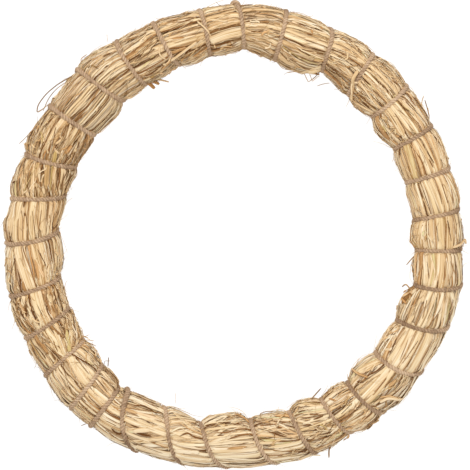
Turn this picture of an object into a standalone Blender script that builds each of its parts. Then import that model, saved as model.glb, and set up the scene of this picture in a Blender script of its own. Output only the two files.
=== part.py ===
"""Straw wreath: a ring of bound straw that lies flat, wrapped all the way round with one length of jute twine.

Metres, +Z up, the wreath lying on z = 0 with its front upwards. An angle round the ring is in degrees
clockwise from +Y, seen from the front. An angle round the bundle is in degrees from its outer edge,
over the front, to the inner edge (180) and back under it.
"""

import math

import bpy
import numpy as np

# The ring of straw
RING_RADIUS = 0.1331  # to the middle of the bundle
BUNDLE_THICKNESS = 0.0340  # across a bulge of average size
RIDGE_HEIGHT = 0.00045  # how far bunches of straw stand out of a bulge, or in
FLATTENED = 0.0010  # how much of each bulge its own weight presses flat underneath

# The twine and how deep it pulls the straw in, measured from the crown of a bulge
TWINE_DIAMETER = 0.0032
GAP = 0.0003  # between the twine and the straw
PINCH_OUTER = 0.0040
PINCH_FRONT = 0.0042
PINCH_INNER = 0.0054
PINCH_BACK = 1.95 * TWINE_DIAMETER  # the wreath rests on its straw, clear of the twine
FULL_BULGE_PITCH = 0.021  # turns closer together than this leave the straw less room to rise
KNOT_DIAMETER = 0.0056
KNOT_LENGTH = 0.0070

# How finely the solids are faceted. The twine has a point at every second one round the bundle.
FACETS_ROUND_BUNDLE = 22
ROWS_BETWEEN_TURNS = (0.0, 0.22, 0.5, 0.78)
RIDGE_SEED = 7

# One row for each turn of the twine: where it crosses the outer edge of the ring, the front and the inner
# edge, in degrees, then the bulge of straw after it: how far its middle lies outside the ring's average
# circle, and how much its half thickness differs from the average bundle's, in millimetres.
TURNS = (
    (0.2, 2.2, 2.9, 4.1, -2.5),
    (12.8, 13.2, 12.6, 0.8, -0.5),
    (24.5, 26.7, 27.6, 2.8, -1.9),
    (37.0, 37.5, 38.4, 0.7, 0.5),
    (48.4, 49.2, 48.2, -0.6, 0.2),
    (60.2, 60.9, 60.6, -1.2, -0.4),
    (71.8, 72.5, 71.8, -1.5, -0.7),
    (82.4, 83.8, 84.4, -2.0, 0.0),
    (92.7, 93.6, 93.6, 0.1, -1.1),
    (101.3, 104.4, 104.4, -0.7, 0.4),
    (112.2, 116.2, 116.6, -1.2, 0.2),
    (125.2, 129.3, 128.6, -1.4, 0.7),
    (139.3, 142.0, 141.8, -1.1, -0.3),
    (148.6, 151.2, 151.6, -2.0, 0.4),
    (159.0, 161.6, 162.6, -1.2, -0.4),
    (169.0, 173.7, 175.0, -2.0, 0.4),
    (181.8, 187.9, 191.1, 1.2, -1.8),
    (192.7, 198.3, 202.8, 2.0, -1.0),
    (204.7, 212.0, 215.4, 3.6, -0.7),
    (217.5, 217.5, 217.6, 3.1, 0.4),
    (223.8, 224.6, 226.4, 2.0, 0.8),
    (234.0, 234.7, 236.0, 0.7, 0.2),
    (244.5, 244.8, 247.6, 1.0, 0.5),
    (255.6, 255.4, 257.8, -1.7, 1.7),
    (269.0, 268.8, 272.9, -1.6, 0.8),
    (280.2, 280.9, 284.4, -2.3, 1.0),
    (292.2, 291.9, 294.4, -1.9, 1.2),
    (305.8, 305.5, 306.2, -3.1, 1.5),
    (317.0, 318.3, 321.3, 0.2, 0.7),
    (329.3, 328.5, 330.2, -0.7, 0.0),
    (339.3, 340.1, 342.5, 0.4, -0.7),
    (351.1, 352.2, 352.3, 3.3, -1.7),
)
MILLIMETRE = 0.001
TWINE_RADIUS = TWINE_DIAMETER / 2
ROWS_PER_TURN = len(ROWS_BETWEEN_TURNS)
CENTRE_HEIGHT = BUNDLE_THICKNESS / 2 - FLATTENED


def turn_angle(turn, round_bundle):
    """The angle round the ring where this turn of the twine lies, at an angle round the bundle."""
    outer, front, inner = TURNS[turn % len(TURNS)][:3]
    next_outer = TURNS[(turn + 1) % len(TURNS)][0]
    if (turn + 1) % len(TURNS) == 0:
        next_outer += 360
    laps = 360 * (turn // len(TURNS))
    if round_bundle <= 180:
        bow = (front - (outer + inner) / 2) * math.sin(math.radians(round_bundle))
        return laps + outer + (inner - outer) * round_bundle / 180 + bow
    return laps + inner + (next_outer - inner) * (round_bundle / 180 - 1)


def bundle_at(angle):
    """(radius of the bundle's middle, its half thickness) at an angle round the ring."""
    middles = [
        (turn_angle(turn, 90) + turn_angle(turn + 1, 90)) / 2
        for turn in range(len(TURNS))
    ]
    drift = np.interp(angle, middles, [row[3] for row in TURNS], period=360)
    swell = np.interp(angle, middles, [row[4] for row in TURNS], period=360)
    return RING_RADIUS + drift * MILLIMETRE, BUNDLE_THICKNESS / 2 + swell * MILLIMETRE


def pinch(round_bundle):
    """How deep the twine pulls the straw in, at an angle round the bundle."""
    across, up = (
        math.cos(math.radians(round_bundle)),
        math.sin(math.radians(round_bundle)),
    )
    return (
        (PINCH_OUTER if across > 0 else PINCH_INNER) * across**2
        + (PINCH_FRONT if up > 0 else PINCH_BACK) * up**2
    )


def pitch(turn, round_bundle):
    """The distance from this turn of the twine to the next, along the straw under them."""
    angle = turn_angle(turn, round_bundle)
    middle, half = bundle_at(angle)
    radius = middle + (half - pinch(round_bundle)) * math.cos(
        math.radians(round_bundle)
    )
    return radius * math.radians(turn_angle(turn + 1, round_bundle) - angle)


def bulge(turn, round_bundle):
    """How far the straw rises between this turn of the twine and the next."""
    room = min(1, pitch(turn, round_bundle) / FULL_BULGE_PITCH)
    return pinch(round_bundle) * room


def rise(between):
    """The share of a bulge's height reached at a share of the way from one turn to the next."""
    return 1 - abs(2 * between - 1) ** 3


def place(angle, round_bundle, above_pinch):
    """The point at these angles, at a height above the straw that the twine pulls in."""
    middle, half = bundle_at(angle)
    across, up = (
        math.cos(math.radians(round_bundle)),
        math.sin(math.radians(round_bundle)),
    )
    depth = above_pinch - pinch(round_bundle)
    radius = middle + (half + depth) * across
    height = CENTRE_HEIGHT + (BUNDLE_THICKNESS / 2 + depth) * up
    return (
        radius * math.sin(math.radians(angle)),
        radius * math.cos(math.radians(angle)),
        height,
    )


def wrapped(row, facet):
    """(row, facet) of the same point on the rows as listed: a facet past the end of a row is on the row a
    turn further on."""
    laps, facet = divmod(facet, FACETS_ROUND_BUNDLE)
    return (row + laps * ROWS_PER_TURN) % (len(TURNS) * ROWS_PER_TURN), facet


def straw_rows():
    """The ring's points, row by row. A row runs once round the bundle beside the twine and ends on the
    row a turn further on, so the rows make one long spiral that closes on itself."""
    ridges = np.random.default_rng(RIDGE_SEED).uniform(
        -RIDGE_HEIGHT, RIDGE_HEIGHT, (len(TURNS), FACETS_ROUND_BUNDLE)
    )
    rows = []
    for turn in range(len(TURNS)):
        for between in ROWS_BETWEEN_TURNS:
            row = []
            for facet in range(FACETS_ROUND_BUNDLE):
                round_bundle = 360 * facet / FACETS_ROUND_BUNDLE
                here, after = (
                    turn_angle(turn, round_bundle),
                    turn_angle(turn + 1, round_bundle),
                )
                height = rise(between) * (
                    bulge(turn, round_bundle) + ridges[turn][facet]
                )
                row.append(
                    place(here + (after - here) * between, round_bundle, height)
                )
            rows.append(row)
    return np.array(rows)


def seat_twine(rows):
    """Under the twine, every second point moves to the middle of the straight stretch of twine over it."""
    for row in range(0, len(rows), ROWS_PER_TURN):
        for facet in range(1, FACETS_ROUND_BUNDLE, 2):
            rows[row, facet] = (rows[row, facet - 1] + rows[wrapped(row, facet + 1)]) / 2


def straw_ring(rows, material):
    """The bound straw: bulges between the turns of twine, ridged along the ring and flat underneath."""
    points = rows.reshape(-1, 3).copy()
    points[:, 2] = np.maximum(points[:, 2], 0)
    corners = ((0, 0), (0, 1), (1, 1), (1, 0))
    faces = []
    for row in range(len(rows)):
        for facet in range(FACETS_ROUND_BUNDLE):
            face = [wrapped(row + along, facet + over) for along, over in corners]
            faces.append([index * FACETS_ROUND_BUNDLE + place for index, place in face])
    mesh = bpy.data.meshes.new("straw_ring")
    mesh.from_pydata(points.tolist(), [], faces)
    mesh.validate()
    mesh.shade_smooth()
    return add("straw_ring", mesh, material)


def steepest_side(rows, turn, facet):
    """The slope of the steeper side of the twine's groove, near this facet of the bundle."""
    steepest = 0
    for near in (facet - 1, facet, facet + 1):
        row, near_facet = wrapped(turn * ROWS_PER_TURN, near)
        bottom = rows[row, near_facet]
        run = rows[wrapped(row, near_facet + 1)] - rows[wrapped(row, near_facet - 1)]
        run /= np.linalg.norm(run)
        angle = turn_angle(row // ROWS_PER_TURN, 360 * near_facet / FACETS_ROUND_BUNDLE)
        outward = np.subtract(
            place(angle, 360 * near_facet / FACETS_ROUND_BUNDLE, 1),
            place(angle, 360 * near_facet / FACETS_ROUND_BUNDLE, 0),
        )
        outward -= run * outward.dot(run)
        outward /= np.linalg.norm(outward)
        for side in (row - 1, row + 1):
            slope = rows[wrapped(side, near_facet)] - bottom
            slope -= run * slope.dot(run)
            up = slope.dot(outward)
            steepest = max(steepest, up / np.linalg.norm(slope - up * outward))
    return steepest


def twine_points(rows):
    """(place, radius) of each point of the twine's middle line. The first turn starts in the knot."""
    steps = FACETS_ROUND_BUNDLE // 2
    round_knot = 2 * math.pi * (BUNDLE_THICKNESS / 2 - PINCH_OUTER)
    share = KNOT_LENGTH / 2 / round_knot
    stations = [
        (turn, step / steps) for turn in range(len(TURNS)) for step in range(steps)
    ]
    stations.insert(1, (0, share))
    stations.append((len(TURNS) - 1, 1 - share))
    points = []
    for turn, round_share in stations:
        in_knot = (turn, round_share) == (0, 0)
        radius = KNOT_DIAMETER / 2 if in_knot else TWINE_RADIUS
        round_bundle = 360 * round_share
        facet = round(round_share * FACETS_ROUND_BUNDLE)
        lift = (radius + GAP) * math.hypot(1, steepest_side(rows, turn, facet))
        angle = turn_angle(turn, round_bundle)
        points.append((place(angle, round_bundle, lift), radius))
    return points


def jute_twine(rows, material):
    """One length of twine, wound round the straw in a spiral, with its two ends tied at the outer edge."""
    points = twine_points(rows)
    curve = bpy.data.curves.new("jute_twine", "CURVE")
    curve.dimensions = "3D"
    curve.bevel_depth = TWINE_RADIUS
    curve.bevel_resolution = 1
    spline = curve.splines.new("POLY")
    spline.points.add(len(points) - 1)
    spline.use_cyclic_u = True
    for point, (position, radius) in zip(spline.points, points, strict=True):
        point.co = (*position, 1)
        point.radius = radius / TWINE_RADIUS
    return add("jute_twine", curve, material)


def add(name, data, material):
    """A new object in the scene."""
    data.materials.append(material)
    made = bpy.data.objects.new(name, data)
    bpy.context.scene.collection.objects.link(made)
    return made


def plain_material(name, colour, roughness):
    """A material with one colour."""
    material = bpy.data.materials.new(name)
    material.use_nodes = True
    shader = material.node_tree.nodes["Principled BSDF"]
    shader.inputs["Base Color"].default_value = (*colour, 1)
    shader.inputs["Roughness"].default_value = roughness
    shader.inputs["Metallic"].default_value = 0
    return material


def centre(objects):
    """Puts the objects under an empty, placed so that the origin is under the middle of their box."""
    wreath = bpy.data.objects.new("wreath", None)
    bpy.context.scene.collection.objects.link(wreath)
    bpy.context.view_layer.update()
    corners = np.array([corner[:] for made in objects for corner in made.bound_box])
    middle = (corners.min(axis=0) + corners.max(axis=0)) / 2
    wreath.location = (-middle[0], -middle[1], 0)
    for made in objects:
        made.parent = wreath


def main():
    for old in list(bpy.data.objects):
        bpy.data.objects.remove(old)
    straw = plain_material("dry_straw", (0.62, 0.42, 0.19), 0.7)
    jute = plain_material("jute", (0.36, 0.23, 0.14), 0.9)
    rows = straw_rows()
    seat_twine(rows)
    centre([straw_ring(rows, straw), jute_twine(rows, jute)])


main()
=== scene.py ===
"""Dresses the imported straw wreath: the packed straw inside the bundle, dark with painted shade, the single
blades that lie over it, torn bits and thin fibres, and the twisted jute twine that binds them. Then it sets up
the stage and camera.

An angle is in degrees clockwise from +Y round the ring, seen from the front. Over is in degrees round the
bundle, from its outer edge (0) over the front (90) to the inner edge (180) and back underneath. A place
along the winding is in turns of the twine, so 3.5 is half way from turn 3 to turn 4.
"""

import math

import bpy
import numpy as np
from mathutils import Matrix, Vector


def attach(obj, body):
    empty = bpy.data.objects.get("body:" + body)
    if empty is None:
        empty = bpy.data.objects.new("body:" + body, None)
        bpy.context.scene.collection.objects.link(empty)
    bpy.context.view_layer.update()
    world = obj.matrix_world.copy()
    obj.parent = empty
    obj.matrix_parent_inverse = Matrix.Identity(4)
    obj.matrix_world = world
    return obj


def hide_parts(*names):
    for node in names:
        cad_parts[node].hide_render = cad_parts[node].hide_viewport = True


bl_info = {
    "name": "Straw Wreath",
    "version": (1, 0, 0),
    "blender": (4, 5, 0),
    "location": "View3D > Sidebar > Wreath",
    "description": "Lays straw blades, fibres and twisted jute twine over a packed wreath",
    "category": "Object",
}

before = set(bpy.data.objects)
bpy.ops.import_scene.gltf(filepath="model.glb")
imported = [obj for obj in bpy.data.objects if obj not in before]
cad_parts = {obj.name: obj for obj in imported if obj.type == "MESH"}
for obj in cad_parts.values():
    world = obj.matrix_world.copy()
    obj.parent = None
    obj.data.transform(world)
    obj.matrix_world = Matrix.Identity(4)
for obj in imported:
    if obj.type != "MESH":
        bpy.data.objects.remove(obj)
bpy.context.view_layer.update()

MM = 0.001

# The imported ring, in metres, as its source has it
RING_CENTRE = (0.000578, -0.002990)
RING_RADIUS = 0.1331
BUNDLE_THICKNESS = 0.0340
HALF_BUNDLE = BUNDLE_THICKNESS / 2
FLATTENED = 0.0010
CENTRE_HEIGHT = HALF_BUNDLE - FLATTENED
TWINE_DIAMETER = 0.0032
# How deep the twine pulls the straw in on each side of the bundle. Turns closer than the pitch pull in less.
PINCH_OUTER, PINCH_FRONT, PINCH_INNER, PINCH_BACK = 0.0040, 0.0042, 0.0054, 0.0062
FULL_BULGE_PITCH = 0.021

# For each turn of the twine: the angle where it crosses the outer edge, the front and the inner edge, then
# the bulge after it: how far its middle lies outside the average circle and how much thicker it is, in mm.
TURNS = np.array(
    (
        (0.2, 2.2, 2.9, 4.1, -2.5),
        (12.8, 13.2, 12.6, 0.8, -0.5),
        (24.5, 26.7, 27.6, 2.8, -1.9),
        (37.0, 37.5, 38.4, 0.7, 0.5),
        (48.4, 49.2, 48.2, -0.6, 0.2),
        (60.2, 60.9, 60.6, -1.2, -0.4),
        (71.8, 72.5, 71.8, -1.5, -0.7),
        (82.4, 83.8, 84.4, -2.0, 0.0),
        (92.7, 93.6, 93.6, 0.1, -1.1),
        (101.3, 104.4, 104.4, -0.7, 0.4),
        (112.2, 116.2, 116.6, -1.2, 0.2),
        (125.2, 129.3, 128.6, -1.4, 0.7),
        (139.3, 142.0, 141.8, -1.1, -0.3),
        (148.6, 151.2, 151.6, -2.0, 0.4),
        (159.0, 161.6, 162.6, -1.2, -0.4),
        (169.0, 173.7, 175.0, -2.0, 0.4),
        (181.8, 187.9, 191.1, 1.2, -1.8),
        (192.7, 198.3, 202.8, 2.0, -1.0),
        (204.7, 212.0, 215.4, 3.6, -0.7),
        (217.5, 217.5, 217.6, 3.1, 0.4),
        (223.8, 224.6, 226.4, 2.0, 0.8),
        (234.0, 234.7, 236.0, 0.7, 0.2),
        (244.5, 244.8, 247.6, 1.0, 0.5),
        (255.6, 255.4, 257.8, -1.7, 1.7),
        (269.0, 268.8, 272.9, -1.6, 0.8),
        (280.2, 280.9, 284.4, -2.3, 1.0),
        (292.2, 291.9, 294.4, -1.9, 1.2),
        (305.8, 305.5, 306.2, -3.1, 1.5),
        (317.0, 318.3, 321.3, 0.2, 0.7),
        (329.3, 328.5, 330.2, -0.7, 0.0),
        (339.3, 340.1, 342.5, 0.4, -0.7),
        (351.1, 352.2, 352.3, 3.3, -1.7),
    )
)

# How the straw lies after each turn of the twine: the slant of its blades in degrees, inwards going
# clockwise, near the outer edge, on the front and near the inner edge; how much they scatter about it; how
# wide they are in mm; how pale (0 to 1); how open the top layer is; and how crumpled.
LIE = np.array(
    (
        (-2, 0, 8, 8, 2.1, 0.53, 0.5, 0.7),
        (2, -3, 5, 7, 2.4, 0.56, 0.5, 0.6),
        (-5, 3, 0, 14, 1.5, 0.62, 0.4, 0.8),
        (8, 0, -8, 10, 1.5, 0.6, 0.5, 0.6),
        (-6, -6, -3, 8, 2.8, 0.66, 0.3, 0.6),
        (-6, -4, 3, 5, 3.2, 0.58, 0.25, 0.15),
        (-8, -6, -6, 6, 3.4, 0.64, 0.3, 0.2),
        (-3, 0, -10, 5, 4, 0.61, 0.15, 0.25),
        (-14, -8, -4, 5, 3.6, 0.63, 0.1, 0.15),
        (-8, 3, 8, 8, 3.4, 0.68, 0.2, 0.35),
        (-4, -4, 3, 4, 4.2, 0.67, 0.1, 0.2),
        (-8, 0, 8, 8, 4, 0.67, 0.2, 0.2),
        (0, -5, 5, 12, 3, 0.69, 0.35, 0.9),
        (0, 5, 25, 14, 2.8, 0.67, 0.25, 0.7),
        (8, 32, 25, 12, 2.6, 0.73, 0.25, 0.3),
        (0, -5, -22, 9, 3.2, 0.75, 0.2, 0.3),
        (-2, -20, -28, 7, 3, 0.73, 0.2, 0.2),
        (-3, -20, 5, 8, 3.6, 0.72, 0.25, 0.2),
        (-6, -14, -8, 8, 3.2, 0.65, 0.6, 0.2),
        (-3, 0, 0, 6, 2.4, 0.65, 0.4, 0.4),
        (0, 12, -12, 10, 2.6, 0.64, 0.4, 0.4),
        (-3, -12, 30, 12, 3, 0.6, 0.5, 0.5),
        (-20, -8, 3, 14, 3, 0.56, 0.8, 0.9),
        (12, -18, 3, 10, 3.6, 0.62, 0.5, 0.5),
        (-6, -3, -4, 7, 3.6, 0.53, 0.3, 0.3),
        (-12, -12, -15, 12, 2.3, 0.50, 0.35, 0.6),
        (-3, -3, -5, 10, 1.7, 0.52, 0.4, 0.9),
        (-2, 0, 0, 4, 1.4, 0.64, 0.25, 0.4),
        (3, 0, 0, 5, 1.5, 0.65, 0.35, 0.6),
        (-18, -15, 5, 10, 1.9, 0.58, 0.5, 0.9),
        (0, -4, -22, 9, 2.0, 0.56, 0.7, 0.9),
        (-10, -14, -12, 7, 2.6, 0.57, 0.5, 0.7),
    )
)
SLANT_OUTER, SLANT_FRONT, SLANT_INNER, SCATTER, WIDTH, PALE, OPEN, CRUMPLED = range(8)

# The wreath's outer and inner edges, seen from the front, as angle and radius in mm
OUTER_EDGE = np.array(
    (
        (0, 152.4), (1.2, 151.3), (3, 151.3), (9, 152), (12.5, 152), (14, 151.3), (18, 151), (22, 150.3),
        (24.5, 150), (27, 150.7), (30, 150.7), (34, 151.6), (37, 150), (39, 150.7), (42, 152), (45, 151),
        (48, 150), (51, 149.4), (55, 148.7), (60, 147.7), (62, 148.4), (65, 149), (68, 148.1), (71, 147.4),
        (73, 146.4), (76, 147.7), (80, 148.4), (83, 146.8), (85, 147.1), (88, 148.1), (91, 148.4), (93, 147.4),
        (96, 148.1), (99, 149.4), (102, 151), (104, 149.4), (107, 150.3), (113, 150.7), (116, 150),
        (120, 149.7), (123, 148.7), (126, 150), (128, 148.7), (131, 150.3), (134, 151.2), (137, 150.3),
        (140, 149), (143, 150), (146, 150), (148.5, 147.7), (151, 147.4), (154, 148.4), (158, 149.4),
        (164, 149.7), (167, 148.7), (170, 149), (172, 148.1), (176, 149), (180, 148.7), (182, 149.4),
        (185, 148.4), (188, 149.4), (193, 150.7), (196, 150.3), (203, 151.3), (205, 152.9), (208, 152.6),
        (212, 153.6), (215, 152.6), (217.5, 153.3), (224, 153.9), (227, 153.9), (230, 153.3), (235, 152),
        (236, 151), (240, 151.3), (244, 150.7), (250, 151.6), (252, 151.6), (255, 150.7), (258, 151),
        (260, 150.7), (263, 149.4), (266, 148.7), (269, 148.7), (272, 149.4), (274, 150), (276, 147.4),
        (279, 146.8), (281, 148.1), (284, 149), (287, 148.1), (290, 147.7), (292, 146.4), (295, 149.1),
        (298, 148.7), (301, 147.7), (304, 146.8), (306, 148.4), (309, 147.3), (312, 148.7), (316, 149),
        (317.5, 151.2), (323, 151.3), (327, 149.5), (329, 149.7), (336, 148.4), (339, 150), (342, 149.8),
        (346, 149), (351.5, 150.3), (354, 150), (357, 150.7), (359, 151.4),
    )
)
INNER_EDGE = np.array(
    (
        (0, 121.5), (2, 122.8), (4, 122.6), (7, 121.5), (10, 119.6), (12.5, 117.8), (15, 116.3), (17, 115.6),
        (22, 115.7), (25, 119.2), (27, 121.5), (29, 121.8), (31, 120.9), (34, 119.6), (37, 118.6), (39, 117.6),
        (42, 116.3), (45, 116.6), (48, 118.6), (50, 117.3), (53, 115), (56, 115.7), (59, 117.6), (61, 118.3),
        (65, 116.3), (72, 116.3), (76, 115.7), (80, 117), (84, 116.6), (86, 115.3), (91, 114.4), (93, 117.3),
        (99, 117.6), (102, 119.2), (104, 120.5), (106, 118.9), (108, 116.6), (111, 115), (114, 116), (117, 117),
        (120, 116), (123, 115.7), (129, 116.6), (132, 115), (135, 114.4), (138, 114.4), (140, 116.6),
        (142, 117.9), (144, 117.3), (146.5, 115.7), (149, 117), (152, 117.6), (154, 116), (156, 114.4),
        (159, 114), (161, 115.7), (163, 117.3), (166, 116.3), (173, 116.6), (175.5, 117.3), (177, 115.3),
        (179, 113.7), (182, 113.7), (185, 114.7), (188, 117.3), (191, 120.9), (194, 119.9), (197, 118.6),
        (200, 117.6), (203, 117.9), (207, 118.9), (213.5, 119.8), (215.4, 122.8), (216.5, 121.5),
        (217.6, 122.8), (218.9, 119.4), (222, 118.3), (229, 117.9), (231, 116.3), (236, 117.3), (239, 117),
        (245, 115.7), (251, 116.3), (255, 116), (258, 115.3), (260, 114), (263, 112.4), (266, 112.1),
        (269, 112.8), (275, 114.7), (278, 113.1), (284, 112.4), (287, 113.1), (289, 112.1), (292, 111.1),
        (294, 112.1), (297, 113.1), (301, 111.8), (306, 112.1), (308, 111.4), (312, 111.3), (316, 110.4),
        (318, 111.3), (321, 114.2), (324, 114.5), (332, 114.3), (337, 115.2), (340, 117.3), (342, 117.1),
        (348, 116.6), (351, 118.9), (353, 119.2), (356, 119.9),
    )
)
# How far the straw's surface lies past those two edges, so that the blades on it reach them, and how much
# further out it lies under the twine at the outer edge
OUTER_EDGE_FIT, INNER_EDGE_FIT = -0.0001, 0.0006
TWINE_BUMP = 0.0007

# Where a blade has its bends between one turn of the twine and the next, and where a plainer blade has them
BENDS = (0.0, 0.06, 0.15, 0.31, 0.5, 0.69, 0.85, 0.94)
FEW_BENDS = (0.0, 0.09, 0.3, 0.7, 0.91)
# A blade's end this close to a turn of the twine, in turns, is under it: one laid by lot, and a single blade,
# which then ends a little past the twine
UNDER_TWINE, NEAR_TWINE, PAST_TWINE = 0.12, 0.16, 0.06
# How far a blade laid by lot goes on past the twine at its ends, in turns
TUCKED = (0.02, 0.1)
# A bend closer than this to a blade's end, in turns, is left out
NO_BEND = 0.02
# How sharply a single blade bends at the twine, and how far apart its bends are
SINGLE_SHARPNESS, SINGLE_STEP = 12.0, 0.0013
# How much of its depth straw keeps under the twine
DEPTH_KEPT = 0.35
# No straw reaches lower than this above the floor
LOWEST = 0.00005


# --- Where things lie on the wreath ---


def turn_angle(turn, over):
    """The angle of a turn of the twine, over degrees round the bundle."""
    turn, over = np.broadcast_arrays(turn, over)
    laps = np.floor(over / 360)
    over = over - 360 * laps
    turn = np.asarray(turn + laps, dtype=int)
    ring, row = np.divmod(turn, len(TURNS))
    outer, front, inner = (TURNS[row, column] + 360 * ring for column in (0, 1, 2))
    ring, row = np.divmod(turn + 1, len(TURNS))
    following = TURNS[row, 0] + 360 * ring
    bow = (front - (outer + inner) / 2) * np.sin(np.radians(over))
    return np.where(
        over <= 180,
        outer + (inner - outer) * over / 180 + bow,
        inner + (following - inner) * (over / 180 - 1),
    )


# The angle of the middle of each bulge
MIDDLES = (turn_angle(np.arange(len(TURNS)), 90) + turn_angle(np.arange(1, len(TURNS) + 1), 90)) / 2


def bundle_at(angle):
    """The radius of the bundle's middle, and its half thickness."""
    drift = np.interp(angle, MIDDLES, TURNS[:, 3], period=360)
    swell = np.interp(angle, MIDDLES, TURNS[:, 4], period=360)
    return RING_RADIUS + drift * MM, HALF_BUNDLE + swell * MM


def pinch(over):
    """How deep the twine pulls the straw in."""
    across, up = np.cos(np.radians(over)), np.sin(np.radians(over))
    return (
        np.where(across > 0, PINCH_OUTER, PINCH_INNER) * across**2
        + np.where(up > 0, PINCH_FRONT, PINCH_BACK) * up**2
    )


def stretch(turns, over):
    """The length along the ring of one turn's advance here."""
    turn = np.floor(turns)
    here = turn_angle(turn, over)
    middle, half = bundle_at(here)
    radius = middle + (half - pinch(over)) * np.cos(np.radians(over))
    return radius * np.radians(turn_angle(turn + 1, over) - here)


def fuller(angle, over, room, rise):
    """How far the surface lies outside an even bulge, so that its two sides follow the wreath's edges."""
    middle, half = bundle_at(angle)
    outer, inner = (np.interp(angle, *edge.T, period=360) * MM for edge in (OUTER_EDGE, INNER_EDGE))
    outer = outer - (middle + half - PINCH_OUTER * (1 - room)) + OUTER_EDGE_FIT + TWINE_BUMP * (1 - rise)
    inner = middle - half + PINCH_INNER * (1 - room) - inner + INNER_EDGE_FIT
    inner = inner + (PINCH_INNER - PINCH_OUTER) * (1 - rise)
    across = np.cos(np.radians(over))
    return np.where(across > 0, outer, inner) * across**2


def skin(turns, over, lift, sharpness=9.0):
    """The point lift metres off the straw's surface, and the way out of the bundle there. Straw that lies
    deep or stands proud is pressed back under the twine."""
    turn = np.floor(turns)
    between = turns - turn
    here = turn_angle(turn, over)
    angle = here + (turn_angle(turn + 1, over) - here) * between
    room = np.minimum(1, stretch(turns, over) / FULL_BULGE_PITCH)
    rise = 1 - np.abs(2 * between - 1) ** sharpness
    lift = np.where(lift > 0, lift * rise, lift * (DEPTH_KEPT + (1 - DEPTH_KEPT) * rise))
    depth = pinch(over) * (room * rise - 1) + fuller(angle, over, room, rise) + lift
    middle, half = bundle_at(angle)
    across, up = np.cos(np.radians(over)), np.sin(np.radians(over))
    radius = middle + (half + depth) * across
    east, north = np.sin(np.radians(angle)), np.cos(np.radians(angle))
    points = np.stack(
        [
            RING_CENTRE[0] + radius * east,
            RING_CENTRE[1] + radius * north,
            CENTRE_HEIGHT + (HALF_BUNDLE + depth) * up,
        ],
        -1,
    )
    outward = np.stack([across * east, across * north, up], -1)
    return points, outward


def turns_at(angle, over):
    """The place along the winding that lies at an angle."""
    turns = np.arange(-2, len(TURNS) + 3)
    return float(np.interp(angle, turn_angle(turns, float(over)), turns))


def over_at(angle, radius):
    """How far round the bundle the front surface is at a radius."""
    middle, half = bundle_at(angle)
    return math.degrees(math.acos(max(-1.0, min(1.0, (radius - middle) / half))))


def degrees_round(length):
    """How far round the bundle a length across it reaches."""
    return np.degrees(length / HALF_BUNDLE)


def pitch_at(turns, over):
    """The length of one turn's advance here, as a plain number."""
    return float(stretch(np.array(turns), np.array(over)))


def unit(vectors):
    """The vectors made one long."""
    return vectors / np.maximum(np.linalg.norm(vectors, axis=-1, keepdims=True), 1e-12)


# --- Meshes ---


def new_object(name, data):
    """An object in the scene that holds this data."""
    made = bpy.data.objects.new(name, data)
    bpy.context.scene.collection.objects.link(made)
    return made


def store(mesh, values):
    """Keeps what the finishes read on the points of a mesh, by name: lie is a vector, the rest are numbers."""
    for name, value in values.items():
        kind, field = ("FLOAT_VECTOR", "vector") if name == "lie" else ("FLOAT", "value")
        value = np.ravel(value)
        if len(value) == 1:
            value = np.repeat(value, len(mesh.vertices))
        mesh.attributes.new(name, kind, "POINT").data.foreach_set(field, value)


# What is left free at the sides of a shelf of a tube's map, how much the whole map is shrunk, and its margin
SHELF_MARGIN, MAP_SCALE, MAP_MARGIN = 0.03, 0.985, 0.005


def tube_mesh(name, points, wrap, shelves, around, values):
    """A closed tube from rows of points. Wrap says how many rows on the last column joins the first, and how
    many columns on the last row does. Around is the order of a face's corners, and its map lies in shelves."""
    rows, sides = points.shape[:2]
    row, column = (part.ravel() for part in np.meshgrid(np.arange(rows), np.arange(sides), indexing="ij"))
    faces, corners = [], []
    share = row / rows * shelves
    shelf = np.floor(share)
    for ahead, beside in around:
        laps, place = np.divmod(column + beside, sides)
        lap, line = np.divmod(row + ahead + laps * wrap[0], rows)
        faces.append(line * sides + (place + lap * wrap[1]) % sides)
        low = (shelf + SHELF_MARGIN + (1 - 2 * SHELF_MARGIN) * (column + beside) / sides) / shelves
        corners.append(np.stack([share - shelf + ahead * shelves / rows, low], -1))
    mesh = bpy.data.meshes.new(name)
    mesh.from_pydata(points.reshape(-1, 3).tolist(), [], np.stack(faces, -1).tolist())
    mesh.shade_smooth()
    unwrap = mesh.uv_layers.new(name="OFBake")
    unwrap.uv.foreach_set("vector", (np.stack(corners, 1) * MAP_SCALE + MAP_MARGIN).ravel())
    store(mesh, values)
    return mesh


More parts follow.
